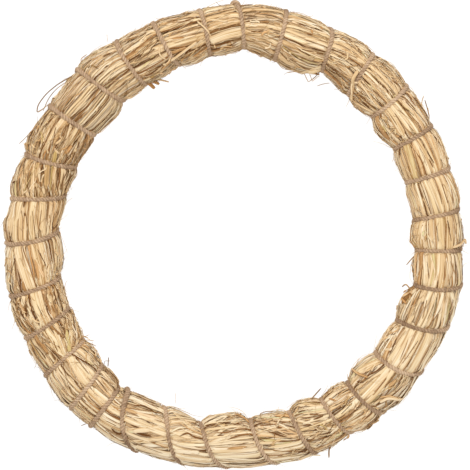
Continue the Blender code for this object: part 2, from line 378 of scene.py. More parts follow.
class Heap:
    """Many closed strips that become one mesh. Each strip is a row of like outlines along its length."""

    def __init__(self):
        self.points, self.loops, self.sizes, self.maps = [], [], [], []
        self.values = {"tone": [], "tint": [], "depth": [], "edge": [], "lie": []}
        self.rims, self.spans, self.owners = [], [], []
        self.count = 0

    def add(self, outlines, tone, tint, depth, across, sharp=()):
        """Adds a strip from its outlines, an array of stations by points by 3. Sharp names the points of an
        outline that lie on a sharp rim."""
        stations, sides = outlines.shape[:2]
        middle = outlines.mean(1)
        along = np.append(0, np.cumsum(np.linalg.norm(np.diff(middle, axis=0), axis=1)))
        girth = np.linalg.norm(outlines - np.roll(outlines, 1, 1), axis=-1).sum(1).max()
        index = np.arange(stations * sides).reshape(stations, sides) + self.count
        after = np.roll(index, -1, 1)
        walls = np.stack([index[:-1], after[:-1], after[1:], index[1:]], -1).reshape(-1, 4)
        self.loops += [walls.ravel(), index[0, ::-1], index[-1]]
        self.sizes += [np.full(len(walls), 4), [sides, sides]]
        self.add_map(along, girth, stations, sides)
        self.owners.append(np.full(len(walls) * 4 + 2 * sides, len(self.spans) - 1))
        self.points.append(outlines.reshape(-1, 3))
        self.count += stations * sides
        flat = np.ones((stations, sides))
        seed = len(self.spans) * 0.37
        # Edge marks a blade's sharp rims, where the finish paints rim shade
        rim = np.abs(across) / np.abs(across).max() if sharp else 0
        # Depth sets how much painted shade the finish gives a strip
        for name, value in (("tone", tone), ("tint", tint), ("depth", depth)):
            self.values[name].append((flat * np.reshape(value, (-1, 1))).ravel())
        self.values["edge"].append((flat * rim).ravel())
        lie = np.stack([flat * across, flat * along[:, None], flat * seed], -1)
        self.values["lie"].append(lie.reshape(-1, 3))
        rims = np.full((stations, sides), -1)
        for number, side in enumerate(sharp):
            rims[:, side] = number
        self.rims.append(rims.ravel())

    def add_map(self, along, girth, stations, sides):
        """The strip's walls and its two lids, laid flat beside each other."""
        lid = min(girth / 2, along[-1] / 4 + 1e-5)
        column = np.linspace(0, girth, sides + 1)
        row = along + lid
        low, high = (np.broadcast_to(part[:, None], (stations - 1, sides)) for part in (row[:-1], row[1:]))
        left, right = (np.broadcast_to(part, low.shape) for part in (column[:-1], column[1:]))
        corners = ((left, low), (right, low), (right, high), (left, high))
        wall_map = np.stack([np.stack(pair, -1) for pair in corners], 2).reshape(-1, 2)
        turn = np.linspace(0, 2 * np.pi, sides, endpoint=False)
        disc = np.stack([0.5 - 0.5 * np.cos(turn), 0.5 + 0.45 * np.sin(turn)], -1)
        lid_map = disc * (girth, lid)
        self.maps += [wall_map, lid_map[::-1], lid_map + (0, row[-1])]
        self.spans.append((girth, row[-1] + lid))

    def packed_map(self):
        """The strips side by side on shelves in a square, which grows until they all fit."""
        spans = np.array(self.spans)
        gap = 0.12 * np.median(spans[:, 0])
        order = np.argsort(-spans[:, 1], kind="stable")
        side = math.sqrt((spans[:, 0] + gap) @ (spans[:, 1] + gap)) * 1.02
        while True:
            corner = np.zeros((len(spans), 2))
            x = y = tall = 0.0
            for strip in order:
                wide, long = spans[strip] + gap
                if x + wide > side and x > 0:
                    x, y, tall = 0.0, y + tall, 0.0
                corner[strip] = x, y
                x, tall = x + wide, max(tall, long)
            if y + tall <= side * 1.01:
                break
            side *= 1.015
        return (np.concatenate(self.maps) + corner[np.concatenate(self.owners)]) / (side * 1.02) + MAP_MARGIN

    def build(self, name, material):
        """The mesh object of all the strips."""
        mesh = bpy.data.meshes.new(name)
        points = np.concatenate(self.points)
        points[:, 2] = np.maximum(points[:, 2], LOWEST)
        loops = np.concatenate(self.loops)
        sizes = np.concatenate(self.sizes)
        mesh.vertices.add(len(points))
        mesh.vertices.foreach_set("co", points.ravel())
        mesh.loops.add(len(loops))
        mesh.loops.foreach_set("vertex_index", loops)
        mesh.polygons.add(len(sizes))
        mesh.polygons.foreach_set("loop_start", np.append(0, np.cumsum(sizes)[:-1]))
        mesh.update(calc_edges=True)
        mesh.shade_smooth()
        unwrap = mesh.uv_layers.new(name="OFBake")
        unwrap.uv.foreach_set("vector", self.packed_map().ravel())
        store(mesh, {key: np.concatenate(parts) for key, parts in self.values.items()})
        ends = np.zeros(len(mesh.edges) * 2, dtype=int)
        mesh.edges.foreach_get("vertices", ends)
        rim = np.concatenate(self.rims)[ends.reshape(-1, 2)]
        sharp_rim_and_rim_shade = (rim[:, 0] >= 0) & (rim[:, 0] == rim[:, 1])
        mesh.attributes.new("sharp_edge", "BOOLEAN", "EDGE").data.foreach_set("value", sharp_rim_and_rim_shade)
        mesh.materials.append(material)
        return new_object(name, mesh)


def frames(centre, outward, closed=False):
    """Unit vectors along a line of points, across it and out of the surface it lies on."""
    ahead = np.roll(centre, -1, 0) - np.roll(centre, 1, 0) if closed else np.gradient(centre, axis=0)
    along = unit(ahead)
    across = unit(np.cross(along, outward))
    return along, across, np.cross(across, along)


# The points round a blade's outline, by how many there are: how far across from its middle (-1 to 1), and on
# which face (1 the outer, -1 the inner)
BLADE_OUTLINES = {
    6: ((-1.0, -0.42, 0.42, 1.0, 0.42, -0.42), (0.0, 1.0, 1.0, 0.0, -1.0, -1.0)),
    4: ((-1.0, 0.0, 1.0, 0.0), (0.0, 1.0, 0.0, -1.0)),
}


def flat_outlines(centre, outward, width, thickness, curl, roll, sides=6):
    """Outlines of a thin blade that may arch across its width (curl) and lean over (roll, in radians)."""
    _, across, up = frames(centre, outward)
    roll = np.broadcast_to(roll, len(centre))[:, None]
    side = across * np.cos(roll) + up * np.sin(roll)
    up = up * np.cos(roll) - across * np.sin(roll)
    share, face = np.array(BLADE_OUTLINES[sides])
    width = np.broadcast_to(width, len(centre))[:, None]
    x = share * width / 2
    y = face * thickness / 2 - np.reshape(curl, (-1, 1)) * width * (share**2 - 0.3)
    return centre[:, None] + side[:, None] * x[..., None] + up[:, None] * y[..., None], share / 2


def round_outlines(centre, outward, radius, sides):
    """Outlines of a round fibre."""
    _, across, up = frames(centre, outward)
    turn = -np.linspace(0, 2 * np.pi, sides, endpoint=False)
    radius = np.broadcast_to(radius, len(centre))[:, None, None]
    ring = across[:, None] * np.cos(turn)[:, None] + up[:, None] * np.sin(turn)[:, None]
    return centre[:, None] + ring * radius, np.cos(turn) / 2


def smooth_line(marks, step):
    """Points every step or so along a soft curve through the marks."""
    marks = np.asarray(marks, dtype=float)
    reach = np.append(0, np.cumsum(np.linalg.norm(np.diff(marks, axis=0), axis=1)))
    slope = np.gradient(marks, reach, axis=0) if len(marks) > 2 else None
    at = np.linspace(0, reach[-1], max(4, int(reach[-1] / step) + 2))
    if slope is None:
        return marks[0] + (marks[1] - marks[0]) * (at / reach[-1])[:, None]
    k = np.clip(np.searchsorted(reach, at, "right") - 1, 0, len(marks) - 2)
    gap = (reach[k + 1] - reach[k])[:, None]
    t = (at - reach[k])[:, None] / gap
    return (
        (2 * t**3 - 3 * t**2 + 1) * marks[k]
        + (t**3 - 2 * t**2 + t) * gap * slope[k]
        + (3 * t**2 - 2 * t**3) * marks[k + 1]
        + (t**3 - t**2) * gap * slope[k + 1]
    )


# --- The straw ---


def slant_at(row, over):
    """The slant of the blades in a bulge, in degrees."""
    over = over % 360
    return float(
        np.interp(
            over,
            (0, 35, 90, 145, 185, 300, 360),
            (0.6 * row[SLANT_OUTER], row[SLANT_OUTER], row[SLANT_FRONT], row[SLANT_INNER],
             0.5 * row[SLANT_INNER], 4, 0.6 * row[SLANT_OUTER]),
        )
    )


def bends_between(start, end, bends):
    """The places along the winding where a blade from start to end has its bends."""
    marks = [turn + bend for turn in range(math.floor(start), math.ceil(end) + 1) for bend in bends]
    inside = [mark for mark in marks if start + NO_BEND < mark < end - NO_BEND]
    return np.array([start, *inside, end])


def lay_blade(heap, draw, start, end, over, slant, width, lift, tone, tint, depth, messy=0.2, sides=6):
    """One blade of straw on the bundle, from start to end along the winding. An end that isn't under a turn
    of the twine is torn and stands off a little."""
    turns = bends_between(start, end, BENDS if sides == 6 else FEW_BENDS)
    pitch = pitch_at((start + end) / 2, over)
    reach = (turns - (start + end) / 2) * pitch
    bend = draw.normal(0, 1.2 + 2 * messy)
    overs = over + degrees_round(math.tan(math.radians(slant)) * reach + bend * reach**2)
    wave = np.sin(reach / 0.006 * draw.uniform(0.5, 1.2) + draw.uniform(0, 6))
    lifts = lift + (0.00006 + 0.0001 * messy) * wave
    shape = np.ones(len(turns))
    for far, mark in ((turns - start, start), (end - turns, end)):
        if UNDER_TWINE < mark % 1 < 1 - UNDER_TWINE:
            away = far * pitch
            shape *= np.clip(draw.uniform(0.1, 0.8) + away / draw.uniform(0.002, 0.008), 0, 1)
            lifts = lifts + draw.uniform(0, 0.0008) * np.clip(1 - away / 0.006, 0, 1) ** 2
    centre, outward = skin(turns, overs, lifts, draw.uniform(7.0, 11.0))
    rise = 1 - np.abs(2 * (turns % 1) - 1) ** 5
    wide = width * (0.86 + 0.14 * rise) * shape
    roll = np.radians(draw.normal(0, 2 + 8 * messy) + draw.normal(0, 10 * messy) * np.sin(reach / 0.011)) * rise
    thickness, curl = draw.uniform(0.00016, 0.0003), draw.uniform(0.0, 0.08)
    outlines, across = flat_outlines(centre, outward, wide, thickness, curl, roll, sides)
    # Painted shade where the twine pulls the blade in, on top of its layer's own
    heap.add(outlines, tone, tint, depth + 0.12 * (1 - rise), across * width, sharp=(0, sides // 2))


def blade_tint(draw):
    """Which blades are golden brown (towards 1) or greenish (towards -1)."""
    if draw.random() < 0.10:
        return draw.uniform(0.4, 1.0)
    if draw.random() < 0.04:
        return draw.uniform(-1.0, -0.4)
    return draw.uniform(-0.12, 0.2)


def quarter_of(over):
    """The heap that a blade goes on, by the side of the bundle it lies on."""
    return ("outer", "front", "inner", "back")[int(((over + 45) % 360) // 90)]


# The layers of blades, from the deepest: the lowest and highest lift in mm, how wide the blades are beside
# those on top, how much of the layer is laid, and how much painted shade it takes for lying deep. The last
# layer is thin dark strips of painted shade that stand for the gaps between blades.
LAYERS = {
    "packed": (-2.3, -1.7, 2.2, 1.0, 0.80),
    "under": (-1.4, -0.8, 1.2, 1.0, 0.36),
    "cover": (-0.45, -0.05, 1.0, 0.97, 0.03),
    "loose": (0.0, 0.35, 0.8, 0.30, 0.0),
    "thin": (0.2, 0.6, 0.35, 0.13, 0.0),
    "shade_slits": (0.15, 0.35, 0.2, 0.12, 0.75),
}
# Blades are laid from under the outer edge once round the bundle, and the shade slits, thin dark strips of
# painted shade, only where they show
FIRST_OVER, LAST_OVER, LAST_SHADE_SLIT = (-92, -86), 268, 200
# Half the way on to the next blade, in widths, and how much wider the blades are at the back
HALF_STEP, BACK_WIDER = 0.46, 1.7
# How much of its lean a blade takes from the one beside it
LEAN_KEPT = 0.85
# A blade's width beside the usual one, by lot as a power of e, and the least and most of it in mm
WIDTH_LOT, LEAST_WIDTH, MOST_WIDTH = (-0.15, 0.48), 0.6, 6
# How often the cover is left open, and by how many degrees
OPEN_SHARE, OPEN_BY = 0.3, (1.0, 2.8)
# Between which degrees the front lies, and how much of the loose layers is laid on it
FRONT_FROM, FRONT_TO, LOOSE_ON_FRONT = 20, 160, 0.3
# How many blades are torn off in a bulge, and how many more where it is crumpled. Of the rest, how many go
# on into the next bulge if they slant less than so many degrees.
TORN, TORN_MORE, GOES_ON, STRAIGHT = 0.10, 0.22, 0.2, 6


def ends_by_lot(draw, number, slant, may_tear, messy):
    """Where a blade of one bulge starts and ends. Some are torn off in the bulge, some go on into the next."""
    start, end = number - draw.uniform(*TUCKED), number + 1 + draw.uniform(*TUCKED)
    if may_tear and draw.random() < TORN + TORN_MORE * messy:
        if draw.random() < 0.5:
            start = number + draw.uniform(0.15, 0.75)
        else:
            end = number + draw.uniform(0.25, 0.85)
    elif abs(slant) < STRAIGHT and draw.random() < GOES_ON:
        end += 1
    return start, end


def lay_layer(heaps, draw, settings, number, layer):
    """One layer of blades side by side, from one turn of the twine to the next."""
    row, (low, high, broad, cover, dark) = LIE[number], LAYERS[layer]
    messy = row[CRUMPLED]
    deep = layer in ("packed", "under")
    over, lean = draw.uniform(*FIRST_OVER), 0.0
    while over < LAST_OVER:
        width = row[WIDTH] * np.exp(draw.normal(*WIDTH_LOT))
        width = float(np.clip(width, LEAST_WIDTH, MOST_WIDTH)) * MM
        width *= broad * settings.blade_width * (BACK_WIDER if quarter_of(over) == "back" else 1)
        if layer == "cover" and draw.random() < OPEN_SHARE:
            over += draw.uniform(*OPEN_BY)
        half_step = degrees_round(width * HALF_STEP / settings.fullness)
        over += half_step
        lean = LEAN_KEPT * lean + draw.normal(0, 0.5 * row[SCATTER])
        side = math.cos(math.radians(over)) ** 2
        laid = cover
        if layer in ("loose", "thin") and FRONT_FROM < over < FRONT_TO:
            laid *= LOOSE_ON_FRONT
        elif layer == "cover":
            laid -= 0.2 * row[OPEN]
        elif layer == "shade_slits":
            laid *= 0.2 + 1.2 * messy
            if over > LAST_SHADE_SLIT:
                break
        if draw.random() < laid:
            slant = slant_at(row, over) + lean + draw.normal(0, 0.4 * row[SCATTER])
            slant *= 0.5 if deep else 1
            start, end = ends_by_lot(draw, number, slant, not deep, messy)
            lift = draw.uniform(low, high) * (1 - 0.5 * side if deep or layer == "cover" else 1) * MM
            tone = row[PALE] + draw.normal(0, 0.2 if layer == "thin" else 0.06 + 0.12 * messy)
            # Painted light: blades near the rims, where the lamps light them less, are painted paler. Shade slits
            # are painted much darker, as painted shade.
            tone += -0.5 if layer == "shade_slits" else (0.24 if abs(over) < 90 else 0.12) * side
            sides = 6 if layer in ("cover", "loose") else 4
            # The layer's painted shade for lying deep, with less of it near the rims
            lay_blade(
                heaps[quarter_of(over)], draw, start, end, over, slant, width, lift, tone, blade_tint(draw),
                dark * (1 - 0.4 * side), messy, sides,
            )
        over += half_step


def lay_blades(heaps, settings):
    """All the blades, in layers between each turn of the twine and the next."""
    draw = np.random.default_rng(settings.seed)
    for number in range(len(LIE)):
        for layer in LAYERS:
            lay_layer(heaps, draw, settings, number, layer)


# How single blades look: how pale, how brown (or, below 0, how green), how much painted shade they take, and
# how far off the straw they lie in mm. A gap is a thin dark blade laid as painted shade in the hollow between two
# blades.
LOOKS = {
    "gap": (0.06, 0.4, 0.7, 0.42),
    "brown": (0.30, 0.5, 0.0, 0.34),
    "rust": (0.42, 1.0, 0.0, 0.36),
    "gold": (0.56, 0.5, 0.0, 0.20),
    "tan": (0.56, 0.1, 0.0, 0.0),
    "olive": (0.47, -0.4, 0.0, 0.04),
    "green": (0.60, -0.9, 0.0, 0.26),
    "light": (0.63, 0.0, 0.0, 0.10),
    "pale": (0.75, -0.1, 0.0, 0.18),
}

# The single blades that show on the front, by look: the width of each in mm, then its ends and bends as
# angle and radius in mm.
SINGLE_BLADES = {
    # Thin dark blades of painted shade in the hollows between blades
    "gap": (
        (0.8, 4.5, 133.2, 8, 134.5), (0.5, 2.5, 143.9, 6, 143.2), (0.5, 3, 141.6, 6, 141.3),
        (0.5, 4, 128, 6, 127.3), (0.6, 14.2, 132.7, 21, 131.5), (0.5, 18, 129.1, 24.5, 127.1),
        (0.6, 16.5, 143.5, 19, 144.2), (0.6, 19.3, 139.3, 21, 140), (0.5, 20, 124.4, 22, 124.7),
        (0.5, 21, 131.5, 25, 133.2), (0.6, 28, 126.4, 32, 126), (0.8, 29, 124.4, 35, 124.4),
        (0.6, 31, 146.4, 34.5, 144.8), (0.8, 29.5, 147.1, 31, 147.1), (0.4, 28, 136.7, 36, 137.1),
        (0.5, 41, 136.7, 47, 136.7), (0.5, 42, 130.6, 48, 130.9), (0.5, 44, 127, 48, 128),
        (0.6, 44.5, 143.2, 47, 144.2), (0.6, 39.5, 147.4, 43, 145.8), (0.8, 40, 123.1, 47, 122.8),
        (1, 43, 120.9, 46.5, 121.2), (0.6, 50.5, 141.3, 55, 142.9), (0.5, 56.5, 143.2, 58.5, 143.9),
        (0.5, 50.5, 137.4, 53.5, 137.4), (0.6, 49.5, 124.4, 51.5, 121.2), (1.3, 58, 124.7, 59, 125.7),
        (0.6, 51, 117.3, 57, 117.3), (0.5, 52.5, 119.2, 56, 119.2), (0.6, 62.8, 144.5, 66.5, 145.8),
        (0.6, 67.8, 134.8, 70.5, 135.4), (0.6, 64.5, 129, 67, 129.9, 71, 129.6),
        (0.8, 61.5, 121.2, 64.5, 117.6), (0.6, 61.5, 148.1, 63, 148.4), (0.6, 77, 142.9, 81, 142.6),
        (0.6, 74.5, 123.1, 78.3, 123.9), (0.8, 78.5, 123.8, 82.5, 125.1), (0.6, 86, 147.7, 92, 148.1),
        (0.6, 101.5, 133.5, 103, 134.5), (0.6, 95, 148.4, 100, 149.7), (0.6, 105.5, 145.5, 111, 146.8),
        (0.4, 107, 147.6, 110.5, 147.2), (0.5, 113.5, 121.8, 116.5, 121.2), (1.9, 109.6, 117.6, 111, 117.7),
        (0.6, 117, 142.9, 125.5, 145.2), (0.8, 118, 147.1, 119.5, 147.1), (0.6, 121.5, 122.5, 127, 124.7),
        (0.6, 120.5, 120.5, 121.5, 119.2), (0.6, 130.5, 139.6, 132.5, 140.6), (0.6, 131, 143.5, 135, 142.9),
        (0.6, 131.5, 145.8, 136, 145.2), (0.6, 129, 146.4, 133, 147.7), (0.8, 134, 147.7, 138, 146.4),
        (0.6, 135, 145.2, 135.8, 142.6), (0.7, 135.5, 142.6, 140, 140), (0.6, 131, 134.8, 135, 135.8),
        (0.8, 130.5, 125.7, 133, 125.1, 136, 123.1), (1.4, 138, 124.4, 139.5, 121.2),
        (0.6, 146, 135.4, 149.5, 135.1), (0.6, 142, 147.7, 146, 147.4), (0.5, 148, 129.9, 150, 130.9),
        (0.6, 146, 127.3, 151.5, 129.3), (1, 146, 115.7, 147.3, 116.3), (0.6, 151, 146.1, 158, 145.2),
        (0.6, 151, 147.7, 156, 148.4), (0.8, 154.5, 141.3, 157.5, 139.3), (0.6, 154, 134.8, 155, 134.5),
        (0.8, 155.5, 134.5, 157.5, 133.5), (0.8, 153.5, 127.7, 156.5, 127), (0.8, 154.5, 125.4, 157, 123.4),
        (0.6, 157.5, 129.3, 160, 128), (0.6, 156.5, 125.7, 160, 123.1), (0.8, 157.5, 119.9, 160, 119.6),
        (0.6, 152.5, 119.2, 155, 116.6), (1, 162, 143.9, 163.5, 143.4), (0.5, 163.5, 143.2, 172, 140.9),
        (0.6, 163, 136.7, 168.5, 133.2), (0.8, 164, 134.1, 167, 129.9, 170, 126), (0.6, 163, 129, 165, 124.4),
        (1, 165.8, 125.7, 167.5, 124.7), (0.6, 168.8, 131.5, 168.5, 128.3, 170.5, 126),
        (0.5, 168.5, 130.2, 173.5, 129.9), (0.8, 168, 119.6, 173, 121.2), (0.6, 172, 144.5, 182, 145.8),
        (0.5, 176, 131.5, 183, 133.5), (0.8, 175, 126.7, 177, 126.4, 182, 129.6),
        (0.8, 175.5, 123.4, 177.5, 122.8, 182.5, 125.1, 186, 125.7), (0.6, 183, 126.7, 185, 127.3),
        (0.8, 181, 119.2, 185, 119.9), (0.6, 185.7, 121.2, 188, 122.8), (1, 182.5, 148.4, 193, 149.7),
        (0.6, 184, 146.1, 187.5, 146.8), (0.8, 188.5, 138, 189.5, 138),
        (0.9, 188.5, 130.6, 192, 129.9, 193, 129, 195.5, 131.9), (0.6, 201, 140.6, 202.5, 141.3),
        (1.2, 202.7, 137.8, 206.7, 140), (0.6, 206.7, 136.1, 209, 137.1), (0.6, 204.5, 130.6, 205.7, 130.6),
        (0.8, 203.5, 124.4, 208.5, 123.4, 211.5, 127), (0.8, 207, 152.3, 216, 152.3),
        (0.8, 210, 148.7, 214, 148.4), (1.2, 209.5, 144.5, 211.5, 146.1, 213, 145.5),
        (1, 211.5, 137.7, 217, 138.3), (0.8, 218, 153.6, 222, 153.3), (0.5, 218.5, 145.6, 223.5, 145.5),
        (0.5, 218.5, 142.9, 223.5, 142.9), (0.6, 217.5, 138.7, 223, 138.3), (0.6, 225, 138, 228.5, 137.7),
        (0.6, 230, 138.3, 233.5, 138), (0.8, 227, 122.5, 229.5, 124.4, 231.5, 126, 234, 129),
        (0.6, 235.5, 146.4, 239, 148.4), (0.6, 237.5, 143.5, 240, 144.2, 242, 145.8),
        (0.6, 238.3, 142.9, 238.5, 140), (0.6, 240, 141.3, 242.5, 143.9), (0.6, 233, 138, 238.7, 138.7),
        (0.5, 235.8, 132.5, 238.7, 138), (0.6, 239.5, 129, 240, 127, 241.7, 124.4, 244.5, 126),
        (0.6, 241.5, 121.2, 246.5, 119.2), (1.4, 249, 144.2, 251, 145.5), (1.4, 249.3, 142.4, 252, 141.3),
        (0.6, 251.8, 141.9, 252.3, 140), (0.6, 251, 148.4, 252.5, 145.8),
        (1, 246, 136.1, 249.5, 138, 254, 137.1), (0.6, 246.5, 127.7, 250, 128.6, 251, 127.3),
        (0.8, 248.5, 121.8, 255, 121.5), (0.6, 249, 119.6, 255, 120.2), (0.9, 260, 149.7, 263.5, 147.4),
        (0.8, 257, 141.9, 260, 140.3, 262, 140.9), (0.8, 258, 140.6, 259.5, 139.3),
        (0.6, 256.5, 130.1, 262, 132.8, 267.5, 137.2), (0.9, 262, 118.6, 269.5, 120.2),
        (0.8, 270, 144.5, 272, 145.2), (1, 276, 135.1, 277, 135.8), (0.9, 278.3, 136.9, 279.5, 137.4),
        (0.9, 277.5, 116, 279, 116), (1, 272.5, 118.3, 274.5, 114.7), (1, 284, 147.7, 284.5, 145.8),
        (0.8, 283.3, 142.6, 284.6, 143.2), (0.8, 283.5, 135.8, 284.5, 138.3), (0.6, 285.5, 131.5, 286.5, 132.5),
        (0.6, 283.5, 127.7, 289, 131.2, 290.5, 132.5), (1, 285, 118.6, 288, 119.2, 292.5, 121.8),
        (0.6, 285.5, 117, 290.5, 117.3, 292.5, 117), (0.6, 287, 115.7, 293.5, 113.4),
        (0.9, 300.5, 141.6, 304, 139), (0.6, 293.5, 136.1, 299, 136.1), (0.9, 296.5, 128.3, 298, 129.3),
        (0.6, 294.5, 120.5, 297, 119.6), (0.8, 299.5, 117.3, 302, 118.6), (0.8, 312, 145.8, 314, 146.1),
        (0.5, 306.5, 137.1, 311.5, 136.1), (0.6, 306.3, 130.6, 308, 129.9),
        (0.5, 307, 129.6, 313, 127, 317, 126.7), (0.5, 312.5, 129.3, 317, 129.3),
        (0.8, 307, 127, 309, 125.7, 311.5, 125.1), (0.5, 307, 121.5, 312, 120.1, 317.5, 121.5),
        (0.5, 307, 116.3, 311, 114.7, 317.5, 115), (1, 313, 112.4, 315, 112.4), (0.8, 324, 144.2, 326.5, 143.2),
        (0.8, 319.5, 137.1, 322.5, 136.4), (0.6, 322.5, 137.7, 324, 137.4),
        (0.6, 319.5, 129.6, 323, 128.6, 327.5, 129), (0.5, 319.8, 127.5, 325, 127, 327.5, 128),
        (0.8, 331.5, 145.5, 333.5, 144.5), (0.9, 329.5, 135.1, 334, 137.4, 338, 141.3),
        (0.9, 329.2, 132.5, 330, 132.2), (0.8, 330.3, 132.2, 333, 132.8),
        (0.6, 329.5, 127.3, 334, 127, 338, 128), (0.8, 329.5, 123.1, 334, 122.8, 339.5, 124.4),
        (0.8, 331, 120.5, 334, 119.9, 338, 121.8), (0.8, 330.5, 116.6, 333, 115.7, 337, 115.7),
        (0.8, 336.5, 119.6, 340, 123.1), (0.6, 345, 143.2, 350.5, 143.9),
        (0.8, 339.5, 141.3, 343, 140, 347, 140.6, 351, 141.6), (1, 341, 129.6, 343, 128, 346, 127.3),
        (1.7, 345, 123.8, 347, 125.4), (1.2, 345.5, 123.1, 346.5, 121.2), (0.8, 347, 123.1, 350.5, 126.4),
        (1, 353.5, 125.4, 357, 126.4, 360, 128), (0.8, 354, 123.8, 358, 124.7, 361, 127),
    ),
    "brown": (
        (1, 6, 139.3, 9.5, 140.6), (0.5, 9, 130.2, 12, 134.1), (0.5, 30, 130.2, 33, 131.2),
        (0.5, 53, 136.7, 58, 138.3), (3.9, 50, 119.9, 58, 117.9), (0.5, 61.5, 138.7, 68.5, 138.3),
        (0.6, 61.2, 127.3, 64.5, 129.1), (0.6, 73, 141.6, 77, 145.5), (1.9, 73, 146.4, 82, 146.8),
        (0.4, 84.3, 135.6, 93.5, 135.8), (0.4, 84.5, 141.6, 92, 141.4), (0.4, 84.3, 129.3, 93, 129.9),
        (0.6, 96, 139.3, 99.5, 143.9), (3.2, 94.5, 120.5, 103, 121.2),
        (0.5, 105.5, 135.8, 109, 137.4, 115, 136.7), (0.6, 109.5, 128.3, 115, 129.3),
        (0.4, 117, 136.1, 127, 138), (0.5, 117, 130.9, 122, 131.5, 126.5, 134.8), (0.5, 120, 129, 126.5, 131.9),
        (3.2, 123, 120.5, 128, 123.8), (1.9, 131, 138, 134, 137.4), (0.5, 143, 133.5, 150, 134.5),
        (0.6, 143, 122.8, 150, 123.1), (0.6, 143, 120.9, 148, 121.2), (2.6, 150.5, 146.1, 159, 145.5),
        (1.9, 176.5, 134.1, 182, 135.4), (0.6, 188, 136.4, 191, 136.1), (0.6, 192, 133.5, 194, 134.5),
        (0.6, 196.5, 141.3, 203, 141.3), (1.9, 209, 129, 212, 130.2), (0.5, 219, 127, 223.5, 124.7),
        (0.5, 224.5, 149, 233, 149), (0.5, 225, 146.4, 233, 145.8), (0.5, 225, 143.9, 229, 143.2),
        (0.6, 229, 136.7, 234, 131.2), (1.9, 235.5, 149.4, 243.5, 149.7), (2.6, 238, 140.6, 243, 143.5),
        (0.5, 239.5, 134.8, 244, 135.8), (1.9, 240, 127.7, 244, 131.5), (0.8, 245.3, 139.3, 249, 144.5),
        (0.5, 251, 128.3, 255, 129), (1.3, 247.5, 125.1, 250, 125.7), (1.3, 252, 123.1, 255, 123.8),
        (0.5, 260.5, 147.1, 265, 143.5), (0.5, 262, 146.4, 266.5, 144.5), (1.9, 256.5, 139, 258.5, 138.7),
        (0.5, 260, 121.2, 269, 121.8), (0.8, 269, 148.4, 274, 150, 276, 147.4), (1.9, 270, 146.4, 274, 148.1),
        (0.5, 274.5, 141.7, 279.5, 142.8), (0.5, 272.5, 135.4, 275, 136.1),
        (0.5, 269.5, 132.2, 274, 132.8, 279.5, 134.8), (0.5, 274, 128.6, 280, 128.6), (0.5, 272, 126, 277, 128),
        (0.5, 275, 121.5, 281, 122.5), (1.3, 281, 147.1, 284, 149.4, 287, 147.7),
        (0.6, 286.5, 137.4, 288, 138.3, 289.5, 137.4), (0.6, 286.5, 139.3, 290, 140.3, 291.5, 137.4),
        (0.6, 284, 130.2, 287, 131.9), (0.5, 293, 143.9, 300, 145.2), (0.5, 295, 140.6, 298, 139.3),
        (0.5, 299, 138.7, 304, 140.6), (0.6, 298, 128.6, 304.5, 129.6), (0.5, 299, 125.4, 304.5, 125.4),
        (0.6, 301, 121.5, 305, 121.8), (0.6, 295, 115.3, 304, 116.3), (0.5, 307, 144.5, 316, 145.2),
        (0.5, 307, 140.9, 316, 141.3), (0.5, 307, 139.3, 312, 138.7), (0.5, 308, 139, 311, 138),
        (1, 321, 147.1, 323, 145.2), (0.5, 319, 143.5, 322, 143.9), (0.5, 319.5, 141.3, 324, 140.6, 327, 138),
        (0.6, 322.5, 136.1, 327, 137.1), (0.5, 322, 122.8, 328, 122.8), (1, 331, 145.2, 334, 143.9),
        (1.9, 330, 134.1, 333, 135.1), (0.5, 334, 136.4, 337.5, 136.4), (1, 340.5, 148.4, 343, 148.1),
        (0.5, 342, 137.4, 351, 137.1), (1.9, 342, 125.7, 346, 126.7), (0.6, 346, 119.2, 350, 121.2),
        (0.6, 352.5, 144.5, 360, 147.4), (0.6, 353.5, 138, 360, 141.9),
        (0.8, 353.5, 131.9, 358, 135.4, 361, 137.1), (1.9, 354, 122.1, 360, 124.4),
    ),
    "rust": (
        (0.6, 5, 144.5, 9, 145.5, 12, 143.9), (1.3, 20, 143.2, 21, 140.6), (1.3, 22, 147.1, 23, 145.8),
        (3.2, 29, 121.8, 36, 120.5), (1, 51, 144.5, 54, 144.5), (1, 99.2, 141.3, 102, 143.9),
        (0.8, 108, 123.1, 111, 123.4), (1, 107.5, 118.6, 109.5, 117.3), (0.8, 119, 121.2, 122, 117.3),
        (0.6, 146, 136.7, 149.5, 136.4), (1.3, 148, 123.1, 149.5, 119.2), (0.6, 152, 140.3, 154, 141.3),
        (2.6, 163, 119.2, 167.5, 117.3), (1.6, 177, 117.3, 180, 114.4), (1, 195, 148.4, 199, 149),
        (0.5, 213.5, 132.5, 216, 133.2), (0.8, 218, 140.6, 223, 140.6), (1.3, 232.8, 118.6, 234.5, 119.9),
        (1.9, 234.5, 117.9, 237, 119.9), (1, 246, 143.9, 248.5, 148.1), (1.3, 258, 130.9, 268, 132.5),
        (1.9, 258, 128.4, 264, 129), (0.6, 263, 114, 269, 116.6), (0.6, 276, 120.2, 277.2, 120.2),
        (0.6, 281.5, 139.3, 285.5, 143.9, 291, 145.8), (1.3, 286, 143.2, 289, 145.2),
        (1.3, 296, 149, 299, 148.1), (1, 293, 133.5, 295.5, 133.5), (2.3, 296.5, 121.8, 299.8, 120.5),
        (1.3, 298.5, 113.7, 303, 114), (1.3, 302, 114.4, 305, 115.7),
        (0.6, 311.5, 138, 312.8, 136.1, 314.5, 135.8), (0.6, 320, 149, 323, 149),
        (1.9, 336.3, 119.2, 339.5, 121.8), (0.8, 344, 145.8, 346, 146.8),
        (1.2, 342.5, 134.3, 344.5, 133.5, 346, 132.8), (1.9, 347, 120.9, 351, 123.8),
    ),
    "gold": (
        (1.9, 27, 147.7, 32, 149.7), (1.9, 50, 146.4, 58, 146.4), (1.9, 171.5, 146.4, 181, 147.7),
        (1, 190, 128.6, 197, 124.1), (1, 190.5, 127, 196.5, 121.2), (1.3, 218.5, 129, 223.5, 128.3),
